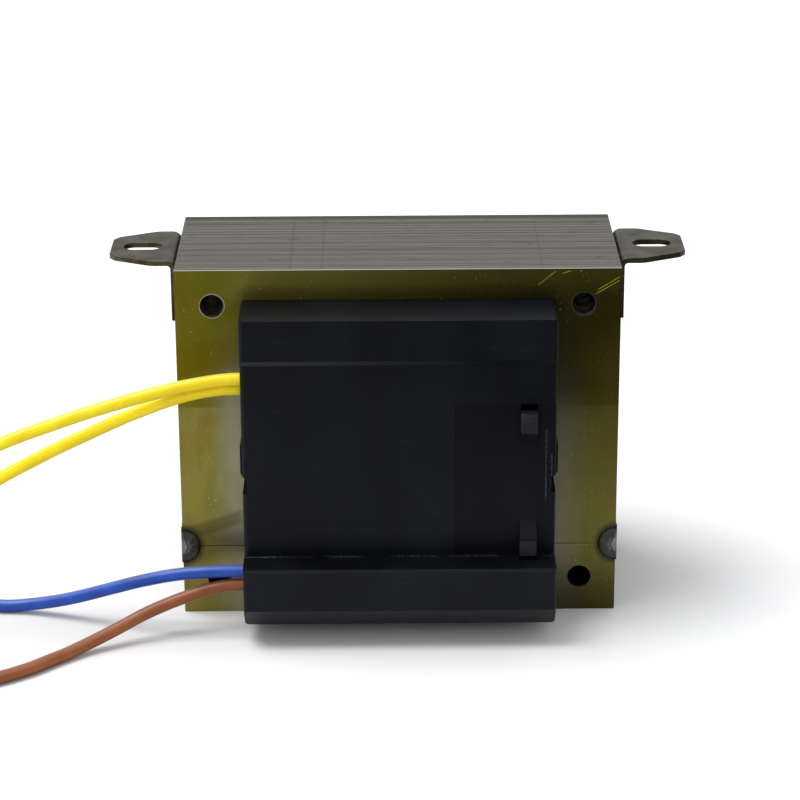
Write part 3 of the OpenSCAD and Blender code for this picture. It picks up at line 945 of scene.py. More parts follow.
@dataclass(frozen=True)
class MetalFinish:
    """Bare or plated metal with a cloudy tint, fine marks and pits."""

    name: str
    light: Colour
    dark: Colour
    roughness: float
    cloud: float
    grain: float
    relief: float
    cloud_detail: float = 4
    grain_detail: float = 3
    parts: Span = (0.7, 0.3)
    rise: Span = (0.35, 0.65)
    metal: float = 0.9
    grain_rough: float = 0.15

    def material(self) -> bpy.types.Material:
        """Builds the material: two tones in clouds, with grain in the relief and the gloss."""
        f = Finish(self.name)
        clouds = f.noise(f.place, self.cloud, self.cloud_detail)
        grain = f.noise(f.place, self.grain, self.grain_detail)
        cloud_part, grain_part = self.parts
        mixed = f.total(f.product(clouds, cloud_part), f.product(grain, grain_part))
        return f.finish(
            Base_Color=f.blend(f.step(mixed, *self.rise), self.dark, self.light),
            Metallic=self.metal,
            Roughness=f.sway(grain, self.roughness, self.grain_rough),
            Normal=f.relief(grain, self.relief),
        )


@dataclass(frozen=True)
class CoverMarks:
    """What sets the covers apart from other mouldings. Places are in metres.

    The hook boxes are painted highlights on the hooks' lit front faces, and the recess is the sunk
    panel beside them. The seam is a faint level line of painted highlight along the foot of the top
    band, the foot is the lowest chamfer, which gets a faint painted reflection of the floor, and an
    upright line, a painted highlight along an edge of a latch slit, is given by its x and its lowest
    and highest z. Dust lies in the corner over the ridge.
    """

    face_y: float
    ridge_z: float
    # Painted highlights on the hooks' front faces, in the dust colour.
    hook_highlights: tuple[Box, ...] = (
        (25.9 * MM, 29.8 * MM, 47.9 * MM, 52.7 * MM),
        (25.9 * MM, 29.8 * MM, 18.8 * MM, 22.9 * MM),
    )
    hook_highlight_rise: Span = (0.3 * MM, 0.6 * MM)
    hook_highlight_shares: Span = (0.01, 0.08)
    recess: Box = (12 * MM, 34 * MM, 18.6 * MM, 53.7 * MM)
    recess_rise: Span = (-0.1 * MM, -0.2 * MM)
    recess_share: float = 0.62
    recess_dark: float = 0.3
    box_soft: float = 0.1 * MM
    # The seam line is a painted highlight along the foot of the top band, fading to the right.
    band_highlight_z: float = 63.5 * MM
    band_highlight_rise: Span = (0.9 * MM, 0.54 * MM)
    band_highlight_fade: Span = (30 * MM, -34 * MM)
    band_highlight_share: float = 0.1
    # The foot gets a faint painted reflection of the floor on the lowest, down-facing chamfer.
    chamfer_reflection_turn: Span = (-0.2, -0.5)
    chamfer_reflection_rise: Span = (12 * MM, 9 * MM)
    chamfer_reflection_share: float = 0.04
    corner_z_rise: Span = (0.4 * MM, 0.1 * MM)
    corner_y_rise: Span = (0.6 * MM, 0.1 * MM)
    corner_noise: Blobs = (3 * MM, 2)
    corner_stretch: Scale = (0.4, 1, 1)
    corner_breaks: Span = (0.42, 0.62)
    corner_fluff: Span = (0.42, 0.58)
    corner_share: float = 0.35
    # Painted highlights along the latch slits' edges, in the dust colour.
    slit_highlights: tuple[Upright, ...] = ((31.6 * MM, 31 * MM, 48.2 * MM), (32.8 * MM, 34 * MM, 42.6 * MM))
    slit_highlight_rise: Span = (0.2 * MM, 0.08 * MM)
    slit_highlight_end: float = 1 * MM
    slit_highlight_fluff: Span = (0.3, 0.6)
    slit_highlight_share: float = 0.15

    def lay_on(self, f: Finish, tone: Socket, colour: Colour, dust: Colour, fluff: Socket) -> Socket:
        """Lays the marks over the moulding's colour.

        Args:
            f: the finish being built.
            tone: the colour so far.
            colour: the plastic's own colour.
            dust: the dust's colour, also used for the painted highlights and the painted reflection on the
                lowest chamfer.
            fluff: fine noise that breaks the marks.

        Returns:
            The colour with the marks.
        """
        x, y, z = f.split(f.place)
        depth = f.math("SUBTRACT", f.size(y), self.face_y)
        # Painted highlights on the hooks.
        for hook_highlight in self.hook_highlights:
            mark_mask = f.product(self.inside(f, x, z, hook_highlight), f.step(depth, *self.hook_highlight_rise))
            tone = f.blend(f.product(mark_mask, f.sway(fluff, *self.hook_highlight_shares)), tone, dust)
        sunk = f.product(self.inside(f, x, z, self.recess), f.step(depth, *self.recess_rise))
        tone = f.lay(sunk, Layer(faded(colour, self.recess_dark), self.recess_share), tone)
        # Painted highlight along the foot of the top band.
        seam = f.product(f.step(f.gap(z, self.band_highlight_z), *self.band_highlight_rise), f.step(x, *self.band_highlight_fade))
        tone = f.lay(seam, Layer(dust, self.band_highlight_share), tone)
        # Painted reflection of the floor on the lowest chamfer.
        foot = f.product(f.step(f.split(f.normal)[2], *self.chamfer_reflection_turn), f.step(z, *self.chamfer_reflection_rise))
        tone = f.lay(foot, Layer(dust, self.chamfer_reflection_share), tone)
        near_z = f.step(f.gap(z, self.ridge_z), *self.corner_z_rise)
        near_y = f.step(f.gap(f.size(y), self.face_y), *self.corner_y_rise)
        drawn = f.noise(f.stretch(f.place, self.corner_stretch), *self.corner_noise)
        broken = f.step(drawn, *self.corner_breaks)
        line = f.product(near_z, near_y, f.step(fluff, *self.corner_fluff), broken)
        tone = f.lay(line, Layer(dust, self.corner_share), tone)
        # Painted highlights along the latch slits.
        for place, lowest, highest in self.slit_highlights:
            beside = f.step(f.gap(x, place), *self.slit_highlight_rise)
            above = f.step(z, lowest, lowest + self.slit_highlight_end)
            below = f.step(z, highest, highest - self.slit_highlight_end)
            upright = f.product(beside, f.product(above, below), f.step(fluff, *self.slit_highlight_fluff))
            tone = f.lay(upright, Layer(dust, self.slit_highlight_share), tone)
        return tone

    def inside(self, f: Finish, x: Socket, z: Socket, box: Box) -> Socket:
        """Whether a place lies in an upright rectangle with slightly soft edges.

        Args:
            f: the finish being built.
            x: the place along the width.
            z: the height.
            box: the rectangle's lowest x, highest x, lowest z and highest z.

        Returns:
            The mask, 0 to 1.
        """
        left, right, low, high = box
        soft = self.box_soft
        across = f.product(f.step(x, left - soft, left), f.step(x, right + soft, right))
        return f.product(across, f.step(z, low - soft, low), f.step(z, high + soft, high))


@dataclass(frozen=True)
class PlasticFinish:
    """Moulded plastic with a fine eroded grain, soft flow tones, scuffs and some dust."""

    name: str
    colour: Colour
    worn: Colour
    dust: Colour
    roughness: float
    gloss: float
    marks: Optional[CoverMarks] = None
    flow: Blobs = (12 * MM, 3)
    flow_stretch: Scale = (1, 1, 0.4)
    flow_rise: Span = (0.3, 0.75)
    flow_rough: float = 0.08
    grain: Blobs = (0.3 * MM, 2)
    grain_depth: float = 0.004 * MM
    fluff: Blobs = (0.4 * MM, 3)
    specks: Specks = (1.9 * MM, 0.1 * MM, 0.12)
    speck_share: float = 0.5
    scuffs: Blobs = (3 * MM, 4)
    scuff_stretch: Scale = (0.5, 1, 3)
    scuff_rise: Span = (0.66, 0.74)
    scuff_share: float = 0.02

    def material(self) -> bpy.types.Material:
        """Builds the material: the flow tones, then dust and scuffs, then the covers' marks."""
        f = Finish(self.name)
        flow = f.noise(f.stretch(f.place, self.flow_stretch), *self.flow)
        tone = f.blend(f.step(flow, *self.flow_rise), self.colour, self.worn)
        tone = f.lay(f.specks(f.place, *self.specks), Layer(self.dust, self.speck_share), tone)
        scuffs = f.noise(f.stretch(f.place, self.scuff_stretch), *self.scuffs)
        tone = f.lay(f.step(scuffs, *self.scuff_rise), Layer(self.dust, self.scuff_share), tone)
        if self.marks:
            tone = self.marks.lay_on(f, tone, self.colour, self.dust, f.noise(f.place, *self.fluff))
        return f.finish(
            Base_Color=tone,
            Roughness=f.sway(flow, self.roughness, self.flow_rough),
            Specular_IOR_Level=self.gloss,
            Normal=f.relief(f.noise(f.place, *self.grain), self.grain_depth),
        )


@dataclass(frozen=True)
class LeadFinish:
    """Extruded soft plastic insulation, satin, with faint draw lines and a little grime.

    Its underside, where it faces the floor, is painted a darker tone as painted shade, and its top
    has a pale painted highlight. The draw lines' noise runs round a circle of radius 1, so its blob
    size has no unit, and the line size is how far it moves on for each metre of lead.
    """

    name: str
    colour: Colour
    deep: Colour
    # The share of the painted highlight on top.
    top_highlight: float
    gloss: float = 0.42
    rough: Span = (0.3, 0.1)
    line_size: float = 20.0
    lines: Blobs = (0.3, 2)
    line_depth: float = 0.006 * MM
    clouds: Blobs = (7 * MM, 3)
    parts: Span = (0.3, 0.7)
    rise: Span = (0.3, 0.7)
    grime: Blobs = (1.8 * MM, 4)
    grime_rise: Span = (0.64, 0.76)
    grime_share: float = 0.12
    # Painted shade on the underside and a painted highlight on top, by the surface's direction.
    underside_shade_rise: Span = (0.25, -0.55)
    underside_shade_share: float = 0.4
    underside_shade_dark: float = 0.6
    top_highlight_rise: Span = (0.3, 0.9)
    soft_share: float = 0.08
    soft_depth: float = 0.8 * MM

    def material(self) -> bpy.types.Material:
        """Builds the material on the lead's own map, u along it and v round it."""
        f = Finish(self.name)
        u, v, _ = f.split(f.surface)
        turn = f.product(v, TURN)
        round_way = f.join(f.product(u, self.line_size), f.math("SINE", turn), f.math("COSINE", turn))
        lines = f.noise(round_way, *self.lines)
        clouds = f.noise(f.place, *self.clouds)
        line_part, cloud_part = self.parts
        mixed = f.total(f.product(lines, line_part), f.product(clouds, cloud_part))
        tone = f.blend(f.step(mixed, *self.rise), self.deep, self.colour)
        grime = f.step(f.noise(f.place, *self.grime), *self.grime_rise)
        tone = f.lay(grime, Layer(self.deep, self.grime_share), tone)
        # Painted shade below and a painted highlight on top.
        upward = f.split(f.normal)[2]
        below = Layer(faded(self.deep, self.underside_shade_dark), self.underside_shade_share)
        tone = f.lay(f.step(upward, *self.underside_shade_rise), below, tone)
        tone = f.lay(f.step(upward, *self.top_highlight_rise), Layer(PALE_HIGHLIGHT, self.top_highlight), tone)
        return f.finish(
            Base_Color=tone,
            Roughness=f.sway(clouds, *self.rough),
            Specular_IOR_Level=self.gloss,
            Subsurface_Weight=self.soft_share,
            Subsurface_Scale=self.soft_depth,
            Normal=f.relief(lines, self.line_depth),
        )


@dataclass(frozen=True)
class WindingFinish:
    """Enamelled copper wire laid turn beside turn, or the tape wound over it."""

    name: str
    colour: Colour
    groove: Colour
    pitch: float
    metallic: float
    crest: float = 1.02
    rise: Span = (0.2, 0.7)
    tint: Blobs = (4 * MM, 3)
    tint_share: float = 0.4
    rough: Span = (0.28, 0.2)
    depth_share: float = 0.2

    def material(self) -> bpy.types.Material:
        """Builds the material: the height repeats every pitch as half a circle does."""
        f = Finish(self.name)
        share = f.math("FRACT", f.math("DIVIDE", f.split(f.place)[2], self.pitch))
        turn = f.math("SUBTRACT", f.product(share, 2.0), 1.0)
        wire = f.math("SQRT", f.math("SUBTRACT", self.crest, f.product(turn, turn)))
        tint = f.noise(f.place, *self.tint)
        # Painted shade: the colour darkens into the groove between turns, following the same height as the
        # bumps.
        tone = f.blend(f.step(wire, *self.rise), self.groove, self.colour)
        return f.finish(
            Base_Color=f.lay(tint, Layer(self.groove, self.tint_share), tone),
            Metallic=self.metallic,
            Roughness=f.sway(tint, *self.rough),
            Normal=f.relief(wire, self.depth_share * self.pitch),
        )


@dataclass(frozen=True)
class FloorFinish:
    """Plain pale paper with a barely uneven tone."""

    name: str = "pale_floor"
    colour: Colour = (0.82, 0.82, 0.825)
    duller: float = 0.985
    fibre: Blobs = (2 * MM, 2)
    rough: float = 0.9

    def material(self) -> bpy.types.Material:
        """Builds the material."""
        f = Finish(self.name)
        tone = f.blend(f.noise(f.place, *self.fibre), faded(self.colour, self.duller), self.colour)
        return f.finish(Base_Color=tone, Roughness=self.rough, Specular_IOR_Level=0.0)


def dress(piece: bpy.types.Object, material: bpy.types.Material) -> None:
    """Gives the piece one material on all its faces."""
    piece.data.materials.clear()
    piece.data.materials.append(material)


def dress_node(node: str, material: bpy.types.Material) -> None:
    """Puts a material in a CAD node's slots and leaves its mesh as it is."""
    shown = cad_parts[node]
    if not shown.material_slots:
        shown.data.materials.append(material)
    for slot in shown.material_slots:
        slot.material = material
    log.info("%s: finished with %s", node, material.name)


def settle(piece: bpy.types.Object, material: bpy.types.Material) -> None:
    """Dresses a new piece, lets it ride on the body and reports it."""
    dress(piece, material)
    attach(piece, BODY)
    log.info("%s: %d faces", piece.name, len(piece.data.polygons))


# --- Camera and stage -----------------------------------------------------------------------


@dataclass(frozen=True)
class StudioCamera:
    """The camera: where it stands, where it looks, its lens and its clipping.

    The angles are in degrees, the lens and its sensor in millimetres and the rest in metres.
    """

    place: Point = (-2.24 * MM, -583.8 * MM, 261.7 * MM)
    yaw: float = 0.262
    pitch: float = 20.5625
    roll: float = -0.3006
    lens: float = 124.57
    sensor: float = 36.0
    nearest: float = 10 * MM
    farthest: float = 50.0

    def build(self) -> None:
        """Places the camera and makes it the scene's.

        It looks along +Y turned by the yaw towards +X and by the pitch down, and its picture is
        turned by the roll.
        """
        data = bpy.data.cameras.new("camera")
        data.lens = self.lens
        data.sensor_width = self.sensor
        data.clip_start = self.nearest
        data.clip_end = self.farthest
        camera = bpy.data.objects.new("camera", data)
        yaw, pitch, roll = (math.radians(angle) for angle in (self.yaw, self.pitch, self.roll))
        ahead = Vector((math.sin(yaw) * math.cos(pitch), math.cos(yaw) * math.cos(pitch), -math.sin(pitch)))
        level = Vector((math.cos(yaw), -math.sin(yaw), 0))
        above = level.cross(ahead)
        right = math.cos(roll) * level + math.sin(roll) * above
        up = math.cos(roll) * above - math.sin(roll) * level
        turn = Matrix((right, up, -ahead)).transposed().to_4x4()
        camera.matrix_world = Matrix.Translation(self.place) @ turn
        bpy.context.scene.collection.objects.link(camera)
        bpy.context.scene.camera = camera


@dataclass(frozen=True)
class Stage:
    """A pale floor, a soft high light, an even sky and a dark card that only reflections show.

    Lengths are in metres and the key light's spread is in degrees.
    """

    floor_reach: float = 6.0
    key_strength: float = 2.4
    key_spread: float = 36.0
    key_from: Point = (-0.4, 0.02, 1.0)
    sky_colour: Colour = (0.98, 0.99, 1.0)
    sky_low: float = 0.78
    sky_high: float = 0.8
    sky_rise: Span = (0.1, 0.9)
    card_near: float = -0.15
    card_far: float = -2.0
    card_side: float = 1.0
    card_slant: float = 1.0
    card_height: float = 0.5 * MM
    card_colour: Colour = (0.02, 0.02, 0.02)

    def build(self) -> None:
        """Makes the floor, the light, the sky and the dark card in front."""
        reach = self.floor_reach
        ends = ((-reach, -reach), (reach, -reach), (reach, reach), (-reach, reach))
        self.sheet("floor", ends, 0.0, FloorFinish().material())
        self.dark_card()
        self.key_light()
        self.sky()

    def sheet(
        self, name: str, ends: tuple[Span, ...], height: float, material: bpy.types.Material
    ) -> bpy.types.Object:
        """A flat level sheet with its material.

        Args:
            name: the sheet's name.
            ends: the x and y of its four corners, in turn.
            height: its height.
            material: its material.

        Returns:
            The sheet.
        """
        corners = np.array([(x, y, height) for x, y in ends])
        sheet = make_piece(name, corners, [list(range(len(ends)))], FLAT_SHARP)
        dress(sheet, material)
        return sheet

    def dark_card(self) -> None:
        """A dark card on the floor in front, which only shows as a dark end of reflections."""
        side = self.card_side
        left = self.card_near - self.card_slant * side
        right = self.card_near + self.card_slant * side
        ends = ((-side, left), (side, right), (side, self.card_far), (-side, self.card_far))
        dark = Finish("dark_card").finish(Base_Color=self.card_colour, Roughness=1.0, Specular_IOR_Level=0.0)
        card = self.sheet("dark_card", ends, self.card_height, dark)
        card.visible_camera = False
        card.visible_diffuse = False
        card.visible_shadow = False
        card.visible_transmission = False
        card.visible_volume_scatter = False

    def key_light(self) -> None:
        """A broad, far light, high up on the left."""
        data = bpy.data.lights.new("key_light", "SUN")
        data.energy = self.key_strength
        data.angle = math.radians(self.key_spread)
        light = bpy.data.objects.new("key_light", data)
        light.rotation_euler = Vector(self.key_from).to_track_quat("Z", "Y").to_euler()
        bpy.context.scene.collection.objects.link(light)

    def sky(self) -> None:
        """An even sky, a very little brighter overhead than at the horizon."""
        world = bpy.data.worlds.new("sky")
        world.use_nodes = True
        nodes = world.node_tree.nodes
        links = world.node_tree.links
        height = nodes.new("ShaderNodeSeparateXYZ")
        links.new(nodes.new("ShaderNodeTexCoord").outputs["Generated"], height.inputs[0])
        rise = nodes.new("ShaderNodeMapRange")
        rise.interpolation_type = "SMOOTHSTEP"
        rise.inputs["From Min"].default_value, rise.inputs["From Max"].default_value = self.sky_rise
        rise.inputs["To Min"].default_value = self.sky_low
        rise.inputs["To Max"].default_value = self.sky_high
        links.new(height.outputs["Z"], rise.inputs["Value"])
        links.new(rise.outputs[0], nodes["Background"].inputs["Strength"])
        nodes["Background"].inputs["Color"].default_value = (*self.sky_colour, 1.0)
        bpy.context.scene.world = world
        bpy.context.scene.view_settings.view_transform = "Standard"


# --- Leads ----------------------------------------------------------------------------------


class LeadColour(Enum):
    """The colours of the leads' insulation."""

    # Each lead's last number is the share of its painted highlight on top.
    YELLOW = LeadFinish("yellow_pvc", shade(246, 228, 0), shade(228, 200, 0), top_highlight=0.04, gloss=0.36)
    BLUE = LeadFinish("blue_pvc", shade(0, 82, 190), shade(0, 56, 150), top_highlight=0.1)
    BROWN = LeadFinish("brown_pvc", shade(150, 82, 28), shade(122, 62, 16), top_highlight=0.06)


@dataclass
class Lead:
    """One free lead: its insulation and its stripped, tinned end.

    The route's points are in millimetres, the ones that the CAD lead follows. The insulation's
    cut ends are a little rounded: the end ways are how far its last rings are from the cut, and
    the end shares are their radii as shares of the whole one. The tip's strands lie at the lay,
    counted in strand radii from the lead's line, and go round it by the twist, in turns.
    """

    name: str
    colour: LeadColour
    route: tuple[Point, ...]
    diameter: float = 2.8 * MM
    sides: int = 20
    steps: int = 8
    end_ways: tuple[float, ...] = (0.0, 0.06 * MM, 0.2 * MM)
    end_shares: tuple[float, ...] = (0.9, 0.97, 1.0)
    bare_length: float = 6 * MM
    strand_radius: float = 0.24 * MM
    strands: int = 6
    strand_sides: int = 10
    strand_rings: int = 15
    lay: float = 1.9
    twist: float = 0.7
    line: np.ndarray = field(init=False)

    def __post_init__(self) -> None:
        """Works out the lead's middle line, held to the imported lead's breadth and height."""
        self.line = smooth_route(np.array(self.route) * MM, self.steps)
        low, high = (np.array(corner)[1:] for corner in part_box(f"lead_{self.name}"))
        radius = self.diameter / 2
        self.line[:, 1:] = np.clip(self.line[:, 1:], low + radius, high - radius)

    def build(self) -> None:
        bare = self.bare_end()
        sleeve = self.insulation()

    def insulation(self) -> bpy.types.Object:
        """The insulation: a tube along the line whose cut ends are a little rounded.

        The radius is constant but for the last rings at each end, where it falls by a tenth.

        Returns:
            The tube.
        """
        ways = np.array(self.end_ways)[:, None]
        shares = np.array(self.end_shares)
        first = self.line[0] + ways * unit(self.line[1] - self.line[0])
        last = self.line[-1] + ways * unit(self.line[-2] - self.line[-1])
        line = np.vstack([first, self.line[1:-1], last[::-1]])
        radii = np.full(len(line), self.diameter / 2)
        radii[: len(shares)] *= shares
        radii[-len(shares) :] *= shares[::-1]
        piece = tube(f"lead_{self.name}_insulation", line, radii, self.sides)
        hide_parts(f"lead_{self.name}")
        settle(piece, LEAD_MATERIALS[self.colour])
        return piece

    def bare_end(self) -> bpy.types.Object:
        """The stripped end: strands laid in a long twist round a middle one, joined by tin.

        A strand's middle goes round the lead's line at the lay, by the twist over the bare
        length, and each of its rings is a circle square to the lead's line.

        Returns:
            The strands as one mesh.
        """
        along = unit(self.line[-1] - self.line[-2])
        level = unit(np.cross(along, UP))
        rise = np.cross(level, along)
        way = np.linspace(0, self.bare_length, self.strand_rings)
        number = np.arange(self.strands + 1)[:, None]
        turn = (way / self.bare_length * self.twist + number / self.strands) * TURN
        reach = np.where(number < self.strands, self.lay * self.strand_radius, 0.0)[:, :, None]
        side = np.cos(turn)[:, :, None] * level + np.sin(turn)[:, :, None] * rise
        middle = self.line[-1] + way[:, None] * along + reach * side
        round_ring = ring_turns(self.strand_sides)
        out = np.cos(round_ring)[:, None] * level + np.sin(round_ring)[:, None] * rise
        points = middle[:, :, None] + self.strand_radius * out
        one = capped_tube_faces(self.strand_rings, self.strand_sides)
        shifts = range(0, points[..., 0].size, self.strand_rings * self.strand_sides)
        faces = [[corner + shift for corner in face] for shift in shifts for face in one]
        piece = make_piece(f"tip_{self.name}_strands", points.reshape(-1, 3), faces, TUBE_SHARP)
        face_outwards(piece)
        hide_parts(f"tip_{self.name}")
        settle(piece, TINNED)
        return piece


# --- Core, welds and holes ------------------------------------------------------------------


@dataclass
class WeldSeam:
    """A seam that joins the E and I stacks on one side, from the front of the core to the back.

    The side is -1 on the left and 1 on the right. The proud share is how much of the proud part
    is left between two ripples. The crown shares are how far the rings of an end's low crown
    are from its middle, and a lump is a number of waves round the ring, their height and where
    they start.
    """

    name: str
    side: int
    place: Span
    front: float
    back: float
    radius: float = 4 * MM
    clearance: float = 0.02 * MM
    proud: float = 0.35 * MM
    proud_share: float = 0.75
    ripple: float = 2.5 * MM
    ripple_depth: float = 0.2 * MM
    rows: int = 161
    columns: int = 48
    sharp: float = 60
    crown_height: float = 0.7 * MM
    crown_power: float = 1.5
    crown_shares: tuple[float, ...] = (0.97, 0.92, 0.84, 0.74, 0.62, 0.5, 0.38, 0.26, 0.14, 0.04)
    broad_lump: Lump = (3, 0.35, 0.6)
    narrow_lump: Lump = (7, 0.12, 0.0)

    def build(self, finish: bpy.types.Material) -> None:
        """Makes the seam, closed at both ends by a low crown, and dresses it.

        Across the seam the section is a circle of the weld's radius, flattened on the outside
        to stand a little proud of the core. Along it the radius rises and falls by the ripple's
        depth, and each end closes over a crown.

        Args:
            finish: the seam's material.
        """
        middle_x, middle_z = self.place
        way = np.linspace(0, 1, self.rows)
        y = self.front + way * (self.back - self.front)
        wave = 0.5 - 0.5 * np.cos(TURN * (y - self.front) / self.ripple)
        radius = self.radius - self.clearance - self.ripple_depth * (1 - wave) * (way > 0) * (way < 1)
        turn = ring_turns(self.columns)
        x = self.side * middle_x - radius[:, None] * self.side * np.cos(turn)
        z = middle_z + radius[:, None] * np.sin(turn)
        limit = middle_x + self.proud * (self.proud_share + (1 - self.proud_share) * wave[:, None])
        x = np.where(np.abs(x) > limit, self.side * limit, x)
        body = np.stack([x, np.broadcast_to(y[:, None], x.shape), z], axis=2)
        grid = np.vstack([self.crown(body[0], -1)[::-1], body, self.crown(body[-1], 1)])
        faces = capped_tube_faces(len(grid), self.columns)
        piece = make_piece(f"weld_seam_{self.name}", grid.reshape(-1, 3), faces, self.sharp)
        face_outwards(piece)
        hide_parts(f"weld_bead_{self.name}")
        settle(piece, finish)

    def crown(self, ring: np.ndarray, way: int) -> np.ndarray:
        """Rings that close a seam's end over a low crown.

        Each ring is the seam's outline drawn towards its middle, raised by the crown's height
        times one less its share of the outline to the crown's power, times one plus a cosine
        wave with a few broad lumps that fade inwards and one with more narrow lumps.

        Args:
            ring: the seam's last ring.
            way: -1 for the front end and 1 for the back.

        Returns:
            The rings from the outline inwards.
        """
        share = np.array(self.crown_shares)
        middle = ring.mean(axis=0)
        turn = ring_turns(len(ring))
        broad, broad_height, broad_start = self.broad_lump
        narrow, narrow_height, narrow_start = self.narrow_lump
        wide = broad_height * np.cos(broad * turn + broad_start)[None, :] * share[:, None]
        fine = narrow_height * np.cos(narrow * turn + narrow_start)[None, :]
        height = self.crown_height * (1 - share[:, None] ** self.crown_power) * (1 + wide + fine)
        rings = middle + share[:, None, None] * (ring - middle)
        rings[:, :, 1] += way * height
        return rings


@dataclass
class HoleWall:
    """The wall of a bolt hole, in which each plate's edge lies a little off the next.

    The scatter's waves are how fast the two steady scatters run from plate to plate, and the
    first few plates lie a little higher than the rest.
    """

    name: str
    x: float
    z: float
    front: float
    back: float
    plate: float
    diameter: float = 5.2 * MM
    clearance: float = 0.12 * MM
    wall: float = 0.25 * MM
    sides: int = 40
    scatter: float = 0.07 * MM
    scatter_waves: Span = (12.9, 78.2)
    seed_shares: tuple[float, float, float] = (7, 3, 1.7)
    high_plates: int = 5
    high_rise: float = 0.1 * MM
    end_gap: float = 0.02 * MM
    edge_share: float = 0.96

    def build(self, finish: bpy.types.Material) -> None:
        """Makes the wall as a closed sleeve and dresses it.

        A plate's ring has the bolt's radius less a small clearance, and its middle is shifted
        by a steady scatter of a few hundredths of a millimetre. Two rings bound each plate, and
        two wider ones close the sleeve outside.

        Args:
            finish: the bore's material.
        """
        number = np.arange(round((self.back - self.front) / self.plate))
        share_x, share_z, share_seed = self.seed_shares
        seed = self.x / MM * share_x + self.z / MM * share_z
        wave_x, wave_z = self.scatter_waves
        shift_x = self.scatter * np.sin(number * wave_x + seed)
        shift_z = self.scatter * np.sin(number * wave_z + seed * share_seed)
        shift_z[: self.high_plates] += self.high_rise
        edge = self.front + self.end_gap + number * self.plate
        y = np.stack([edge, edge + self.plate * self.edge_share], axis=1).ravel()
        y[-1] = self.back - self.end_gap
        inner_radius = self.diameter / 2 - self.clearance
        outer_radius = self.diameter / 2 + self.wall
        inner = self.rings(self.x + np.repeat(shift_x, 2), y, self.z + np.repeat(shift_z, 2), inner_radius)
        outer = self.rings(np.full(2, self.x), y[[-1, 0]], np.full(2, self.z), outer_radius)
        grid = np.vstack([inner, outer])
        quads = lattice(len(grid), self.sides, True, True)
        piece = make_piece(f"hole_wall_{self.name}", grid.reshape(-1, 3), quads.tolist(), FLAT_SHARP)
        face_outwards(piece)
        settle(piece, finish)

    def rings(self, x: np.ndarray, y: np.ndarray, z: np.ndarray, radius: float) -> np.ndarray:
        """Rings square to Y: each point is its middle plus the radius times cosine and sine.

        Args:
            x, y, z: the rings' middles.
            radius: their radius.

        Returns:
            The points, ring after ring.
        """
        turn = ring_turns(self.sides)
        across = x[:, None] + radius * np.cos(turn)
        above = z[:, None] + radius * np.sin(turn)
        return np.stack([across, np.broadcast_to(y[:, None], across.shape), above], axis=2)


@dataclass
class Core:
    """The E and I stacks, the two weld seams and the walls of the four bolt holes.

    A scratch is the x and z of its start and of its end, in millimetres.
    """

    half_width: float = 48 * MM
    bolt_edge: float = 8 * MM
    plate: float = 0.5 * MM
    scratches: tuple[Scratch, ...] = (
        (30, 76.3, 34.1, 79.6),
        (35.1, 78.8, 37.1, 79.5),
        (42.1, 74, 48, 77.5),
        (42.5, 74.9, 47.8, 78.2),
    )
    # Both bores are painted shade: their walls are darker than the cut edges, the lower ones nearly black,
    # for the shade inside the holes.
    shaded_upper_bore: MetalFinish = MetalFinish(
        "shaded_upper_bore",
        light=shade(92, 90, 82),
        dark=shade(40, 38, 32),
        roughness=0.4,
        cloud=1.2 * MM,
        grain=0.2 * MM,
        relief=0.02 * MM,
    )
    shaded_lower_bore: MetalFinish = MetalFinish(
        "shaded_lower_bore",
        light=shade(30, 29, 26),
        dark=shade(14, 13, 12),
        roughness=0.6,
        cloud=2 * MM,
        grain=0.3 * MM,
        relief=0.01 * MM,
    )
    top: float = field(init=False)
    front: float = field(init=False)
    back: float = field(init=False)
    joint: float = field(init=False)

    def __post_init__(self) -> None:
        """Takes the core's height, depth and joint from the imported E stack."""
        low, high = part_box("e_lamination_stack")
        self.top = high.z
        self.joint = low.z
        self.front = low.y
        self.back = high.y

    def build(self) -> None:
        """Dresses the stacks and adds the seams and the holes' walls."""
        weld = (self.half_width, self.joint)
        scratches = tuple(tuple(place * MM for place in scratch) for scratch in self.scratches)
        face = PlateFace(weld, scratches)
        steel = LaminationFinish(face, CutEdge(self.front, self.back, self.plate)).material()
        for node in ("e_lamination_stack", "i_lamination_stack"):
            dress_node(node, steel)
        sides = (("left", -1), ("right", 1))
        bead = WeldFinish(weld).material()
        for name, side in sides:
            WeldSeam(name, side, weld, self.front, self.back).build(bead)
        # The bore walls' colours are painted shade.
        rows = (
            ("upper", self.top - self.bolt_edge, self.shaded_upper_bore.material()),
            ("lower", self.bolt_edge, self.shaded_lower_bore.material()),
        )
        bolt_x = self.half_width - self.bolt_edge
        for row, z, finish in rows:
            for name, side in sides:
                HoleWall(f"{row}_{name}", side * bolt_x, z, self.front, self.back, self.plate).build(finish)


# --- Covers, coil and lugs ------------------------------------------------------------------


@dataclass
class Covers:
    """The moulded front and rear covers."""

    rounding: Rounding = Rounding(0.22 * MM)
    ridge_height: float = 15.1 * MM
    face_y: float = 32.5 * MM

    def build(self) -> None:
        """Rounds the covers' edges and dresses them."""
        low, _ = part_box("front_cover")
        plastic = PlasticFinish(
            "black_plastic",
            colour=shade(13, 15, 20),
            worn=shade(20, 22, 27),
            dust=shade(130, 132, 136),
            roughness=0.42,
            gloss=0.14,
            marks=CoverMarks(self.face_y, low.z + self.ridge_height),
        ).material()
        for node in ("front_cover", "rear_cover"):
            piece = self.rounding.copy(node, f"{node}_moulding")
            settle(piece, plastic)


